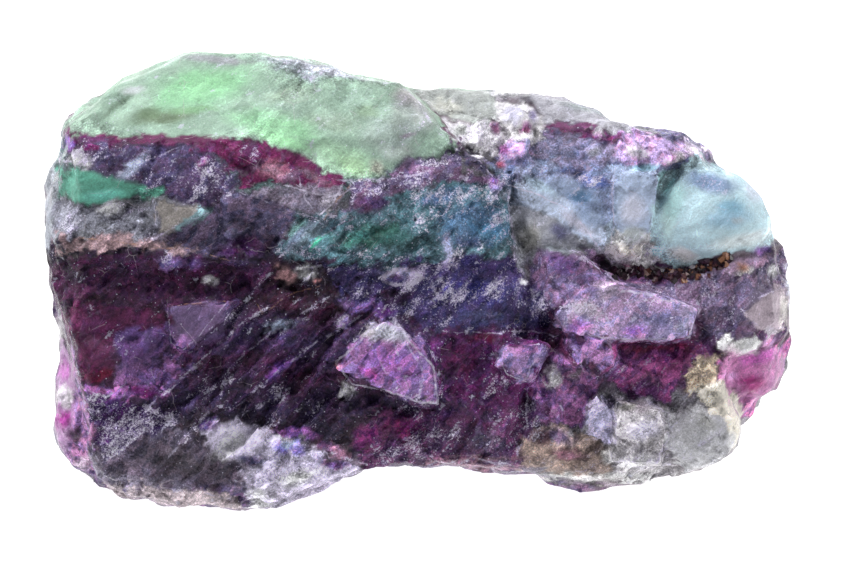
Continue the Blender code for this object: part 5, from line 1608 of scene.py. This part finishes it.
def fluorite_material():
    """Banded fluorite: glossy where it cleaved, dull and white where it was crushed."""
    material, tree, shader = new_material("banded_fluorite")
    place = face_place(tree)
    streaked = streaked_place(tree, place, 2.4)
    brushed = streaked_place(tree, place, 9.0)
    contrast = stored(tree, "contrast")

    colour = layered_colour(tree, place, streaked)
    cover, paint = stored(tree, "patch_tint", "Alpha"), stored(tree, "patch_tint", "Color")
    colour = mixed(tree, cover, colour, paint)

    coarse = placed_group(tree, broken_facets, Place=streaked, Facet_Size=1.0, Crack_Width=0.05)
    fine = placed_group(tree, broken_facets, Place=place, Facet_Size=0.5, Crack_Width=0.07)
    shades = cloud(tree, streaked, 0.9, 7.0, 0.72)[0]
    strokes = cloud(tree, brushed, 1.4, 4.0, 0.65)[0]
    grit = cloud(tree, place, 5.5, 3.0, 0.8)[0]
    # The tone sums the painted light and shade of the facets and ribs with random shades, grit and
    # strokes of the stone's colour.
    tone = times(tree, stored(tree, "facet_shading"), 0.85)
    for value, weight in (
        (coarse["Tone"], 0.35), (fine["Tone"], 0.22), (centred(tree, shades), 3.9),
        (centred(tree, grit), 5.4), (centred(tree, strokes), 1.6),
    ):
        tone = added(tree, value, weight, tone)
    tone = times(tree, tone, contrast)
    light = maths(tree, "POWER", 2.0, tone)
    # Painted shade: the colour is darkened in hollows.
    hollow_shade = added(tree, stored(tree, "hollow_shade"), -0.5, 1.0)
    colour = vectors(tree, "SCALE", colour, times(tree, light, hollow_shade))

    hue = stepped(tree, maths(tree, "ADD", coarse["Tone"], fine["Tone"]), -0.8, 0.8)
    hue_tint = mixed(tree, hue, (0.86, 0.9, 1.16, 1.0), (1.16, 0.88, 0.97, 1.0))
    parts = tree.nodes.new("ShaderNodeSeparateColor")
    tree.links.new(colour, parts.inputs[0])
    greenness = maths(tree, "DIVIDE", parts.outputs[1], maths(tree, "ADD", parts.outputs[2], 0.004))
    not_green = stepped(tree, greenness, 0.85, 0.55)
    hue_share = times(tree, stepped(tree, contrast, 0.3, 1.1), not_green)
    colour = mixed(tree, hue_share, colour, vectors(tree, "MULTIPLY", colour, hue_tint))

    line_gaps = stepped(tree, cloud(tree, place, 0.9, 4.0, 0.65)[0], 0.42, 0.6)
    line_reach = vectors(tree, "LENGTH", stored(tree, "white_line", "Vector"))
    near_line = times(tree, stepped(tree, line_reach, 5.0, 0.5), line_gaps)
    amount = added(tree, near_line, 0.4, stored(tree, "patch_frost"))
    frost = placed_group(tree, frost_group, Place=place, Streaked=streaked, Amount=amount)
    hazed = vectors(tree, "ADD", vectors(tree, "SCALE", colour, 1.35), (0.03, 0.027, 0.075))
    colour = mixed(tree, times(tree, frost["Haze"], 0.45), colour, hazed)
    sparkle = times(tree, maths(tree, "SUBTRACT", grit, 0.43), 6.5)
    sparkle = maths(tree, "POWER", 2.0, added(tree, fine["Tone"], 0.3, sparkle))
    white = vectors(tree, "SCALE", tuple(tint(FROST_TINT)), sparkle)
    white = vectors(tree, "MINIMUM", white, BRIGHTEST_FROST)
    grains = added(tree, stepped(tree, grit, 0.4, 0.56), 0.78, 0.2)
    colour = mixed(tree, times(tree, frost["Mask"], grains), colour, white)

    lit_edge = vectors(tree, "ADD", vectors(tree, "SCALE", colour, 1.9), (0.07, 0.06, 0.11))
    # Painted highlight: the borders of some facets take the lit copy of the colour.
    border = stepped(tree, cloud(tree, place, 0.8, 4.0)[0], 0.5, 0.66)
    lit_facet_border = times(tree, coarse["Crack"], times(tree, border, 0.5))
    colour = mixed(tree, lit_facet_border, colour, lit_edge)

    line_noise = cloud(tree, place, 3.0, 3.0, 0.7)[0]
    line_share = times(tree, line_gaps, 0.5)
    rim_share = added(tree, line_gaps, 0.6, 0.2)
    for name, share, line_colour in (
        ("dark_line", line_share, (18, 10, 22)), ("white_line", line_share, (214, 206, 232)),
        ("tan_line", line_share, (196, 152, 128)), ("rim_line", rim_share, (222, 214, 236)),
    ):
        colour = drawn_line(tree, name, line_noise, share, colour, line_colour)

    # Worn edges: white where the crystal was crushed, and also painted as lit, since they take the
    # lit copy of the colour.
    wear_noise = stepped(tree, cloud(tree, place, 2.4, 5.0, 0.7)[0], 0.4, 0.62)
    worn_and_lit = times(tree, stored(tree, "worn_and_lit_edges"), wear_noise)
    worn_and_lit = times(tree, worn_and_lit, added(tree, amount, 1.1, 0.15))
    colour = mixed(tree, times(tree, worn_and_lit, 0.7), colour, lit_edge)

    cracks = placed_group(tree, broken_facets, Place=place, Facet_Size=4.2, Crack_Width=0.012)
    crack_noise = stepped(tree, cloud(tree, place, 0.5, 4.0)[0], 0.52, 0.62)
    crack = times(tree, cracks["Crack"], crack_noise)
    colour = mixed(tree, times(tree, crack, 0.35), colour, opaque((216, 200, 214)))

    # White specks of crushed crystal, and painted glints: the splashes along the shear stand for
    # small highlights on dark facets.
    chance = added(tree, amount, 0.6, centred(tree, shades))
    pinpoints = fleck_mask(tree, place, 2.6, 0.2, chance)
    jolted = vectors(tree, "ADD", streaked, soft_jolt(tree, place, 3.0, 4.0, 1.1))
    glint_splashes = fleck_mask(tree, jolted, 0.95, 0.26, chance)
    specks_and_glints = maths(tree, "MAXIMUM", pinpoints, times(tree, glint_splashes, 0.75))
    colour = mixed(tree, times(tree, specks_and_glints, 0.75), colour, opaque((222, 220, 244)))
    tree.links.new(colour, shader.inputs["Base Color"])

    roughness = added(tree, frost["Mask"], 0.35, 0.2)
    roughness = added(tree, worn_and_lit, 0.2, roughness)
    tree.links.new(roughness, shader.inputs["Roughness"])

    lumps = times(tree, coarse["Height"], 0.6)
    lumps = added(tree, fine["Height"], 0.45, lumps)
    lumps = times(tree, lumps, stored(tree, "relief"))
    lumps = added(tree, strokes, 0.22, lumps)
    lumps = added(tree, frost["Grain"], 0.12, lumps)
    bump = tree.nodes.new("ShaderNodeBump")
    bump.inputs["Distance"].default_value = MM
    tree.links.new(lumps, bump.inputs["Height"])
    tree.links.new(bump.outputs["Normal"], shader.inputs["Normal"])

    shader.inputs["IOR"].default_value = FLUORITE_IOR
    shader.inputs["Specular IOR Level"].default_value = 0.3
    return material


banded_fluorite = fluorite_material()
skin.materials.append(banded_fluorite)
deselect_all()
stone.select_set(True)
bpy.context.view_layer.objects.active = stone
bpy.ops.object.shade_smooth()
print("Stone material:", len(banded_fluorite.node_tree.nodes), "nodes")

# %% [markdown]
# ## The stone replaces the plain solid
#
# The dressed stone rides on the one body there is and stands for the plain solid, which is hidden.

# %% Hand the stone over
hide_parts(STONE_NODE)
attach(stone, "root")
print(stone.name, "has", triangle_count(skin), "triangles")

# %% [markdown]
# ## Crystals in the cleft
#
# Under the blue nodule runs a cleft lined with tiny dark crystals, brown to rust in colour. They
# are far finer than the fused skin can hold, so they are cubes of their own, half sunk in it: one
# cube is cleaved at a corner and copied along the cleft, and the copies are joined.

# %% Grow the crust
CLEFT_RUN = [
    (19.4, 0.5), (20.9, 0.9), (22.6, 0.6), (24.6, 0.7), (26.2, 0.4), (27.4, 0.9), (29.0, 1.5),
    (31.0, 2.0),
]
CRYSTAL_COUNT = 190
CRYSTAL_SUNK = 0.2

surface = BVHTree.FromObject(stone, bpy.context.evaluated_depsgraph_get())
one_crystal = cleaved_cube()
crystals = []
for _ in range(CRYSTAL_COUNT):
    along = random.uniform(0, len(CLEFT_RUN) - 1)
    start = Vector(CLEFT_RUN[int(along)])
    middle = start.lerp(Vector(CLEFT_RUN[int(along) + 1]), along % 1)
    u, v = middle.x + random.normal(0, 0.25), middle.y + random.normal(0, 0.3)
    hit, normal = eye_ray(surface, u, v)
    half_size = random.uniform(0.14, 0.34)
    sunk = hit - normal * CRYSTAL_SUNK * half_size * MM
    crystals.append(turned_copy(one_crystal, sunk, half_size, "crystal"))
bpy.data.objects.remove(one_crystal)
deselect_all()
for crystal in crystals:
    tone_of_one = np.full(len(crystal.data.vertices), random.uniform(0, 1))
    store(crystal.data, "crystal_tone", tone_of_one)
    crystal.select_set(True)
crust = crystals[0]
bpy.context.view_layer.objects.active = crust
bpy.ops.object.join()
crust.name = "cleft_crystals"
print(CRYSTAL_COUNT, "crystals with", len(crust.data.polygons), "faces")


# %% Dress the crust
CRYSTAL_SHADES = {
    0.0: (30, 16, 24), 0.45: (44, 24, 34), 0.66: (72, 44, 66), 0.8: (104, 64, 50),
    0.9: (162, 114, 84), 0.98: (196, 184, 190),
}


def crystal_material():
    """Dark brown crystals with rusty and violet ones between them."""
    material, tree, shader = new_material("cleft_crystal")
    place = face_place(tree)
    colour = colour_ramp(tree, CRYSTAL_SHADES, stored(tree, "crystal_tone"))
    dust = cloud(tree, place, 3.0, 4.0)[0]
    light = added(tree, dust, 1.2, 0.4)
    tree.links.new(vectors(tree, "SCALE", colour, light), shader.inputs["Base Color"])
    tree.links.new(added(tree, dust, 0.4, 0.08), shader.inputs["Roughness"])
    shader.inputs["IOR"].default_value = FLUORITE_IOR
    return material


crust.data.materials.clear()
crust.data.materials.append(crystal_material())
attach(crust, "root")
print("Crust dressed")

# %% [markdown]
# ## Floor, light and camera
#
# The stone is shown as in a light tent: a white floor, a white surround and soft lamps from behind,
# from the right and from the front. The roof of the tent, where the camera looks in, is dim, so
# that the dark facets that mirror it stay dark. The camera stands over the broad face, as the eye
# of the patches does.

# %% The floor
bpy.ops.mesh.primitive_plane_add(size=6)
floor = bpy.context.active_object
floor.name = "pale_floor"
paper, _, paper_shader = new_material("pale_paper")
paper_shader.inputs["Base Color"].default_value = (0.6, 0.6, 0.6, 1)
paper_shader.inputs["Roughness"].default_value = 0.9
paper_shader.inputs["Specular IOR Level"].default_value = 0.1
paper_shader.inputs["Emission Color"].default_value = (1, 1, 1, 1)
paper_shader.inputs["Emission Strength"].default_value = 0.95
floor.data.materials.append(paper)
print("Floor", floor.dimensions.x, "m wide")

# %% The light
world = bpy.data.worlds.new("white_tent")
world.use_nodes = True
bpy.context.scene.world = world
sky = world.node_tree
direction = sky.nodes.new("ShaderNodeTexCoord").outputs["Generated"]
upward = vectors(sky, "DOT_PRODUCT", direction, (0.0, -0.34, 0.94))
roof = stepped(sky, upward, 0.35, 0.75)
glow = mixed(sky, roof, (0.55, 0.55, 0.57, 1.0), (0.1, 0.1, 0.11, 1.0))
sky.links.new(glow, sky.nodes["Background"].inputs["Color"])
sky.nodes["Background"].inputs["Strength"].default_value = 1.0


def soft_lamp(name, place, size, power):
    """A square white area lamp that points at the middle of the stone."""
    lamp = bpy.data.lights.new(name, "AREA")
    lamp.size = size
    lamp.energy = power
    holder = bpy.data.objects.new(name, lamp)
    holder.location = place
    aim = Vector((0, 0, 0.015)) - Vector(place)
    holder.rotation_euler = aim.to_track_quat("-Z", "Y").to_euler()
    bpy.context.scene.collection.objects.link(holder)


soft_lamp("lamp_behind_left", (-0.35, 0.55, 0.5), 0.3, 6.5)
soft_lamp("lamp_right", (0.6, 0.15, 0.35), 0.3, 1.8)
soft_lamp("lamp_front", (-0.1, -0.6, 0.35), 0.4, 1.1)
bpy.context.scene.view_settings.view_transform = "Standard"
print("Lamps:", [light.name for light in bpy.data.lights])

# %% The camera
VIEW_WIDTH = 84.7
VIEW_MIDDLE = (0.35, -0.25)
SENSOR = 36.0

camera = bpy.data.cameras.new("camera_over_the_face")
camera.sensor_width = SENSOR
camera.lens = SENSOR * EYE_DISTANCE / VIEW_WIDTH
camera.clip_start = 0.01
eye = bpy.data.objects.new("camera_over_the_face", camera)
bpy.context.scene.collection.objects.link(eye)
eye.matrix_world = (
    Matrix.Translation(FACE_TO_PART @ Vector((*VIEW_MIDDLE, EYE_DISTANCE)))
    @ Matrix.Rotation(FACE_LEAN, 4, "X")
)
bpy.context.scene.camera = eye
print("Camera at", eye.matrix_world.translation, "with a lens of", round(camera.lens, 1), "mm")

# %% [markdown]
# ## The end
# that the looks have not changed the size.


print("Scene built")
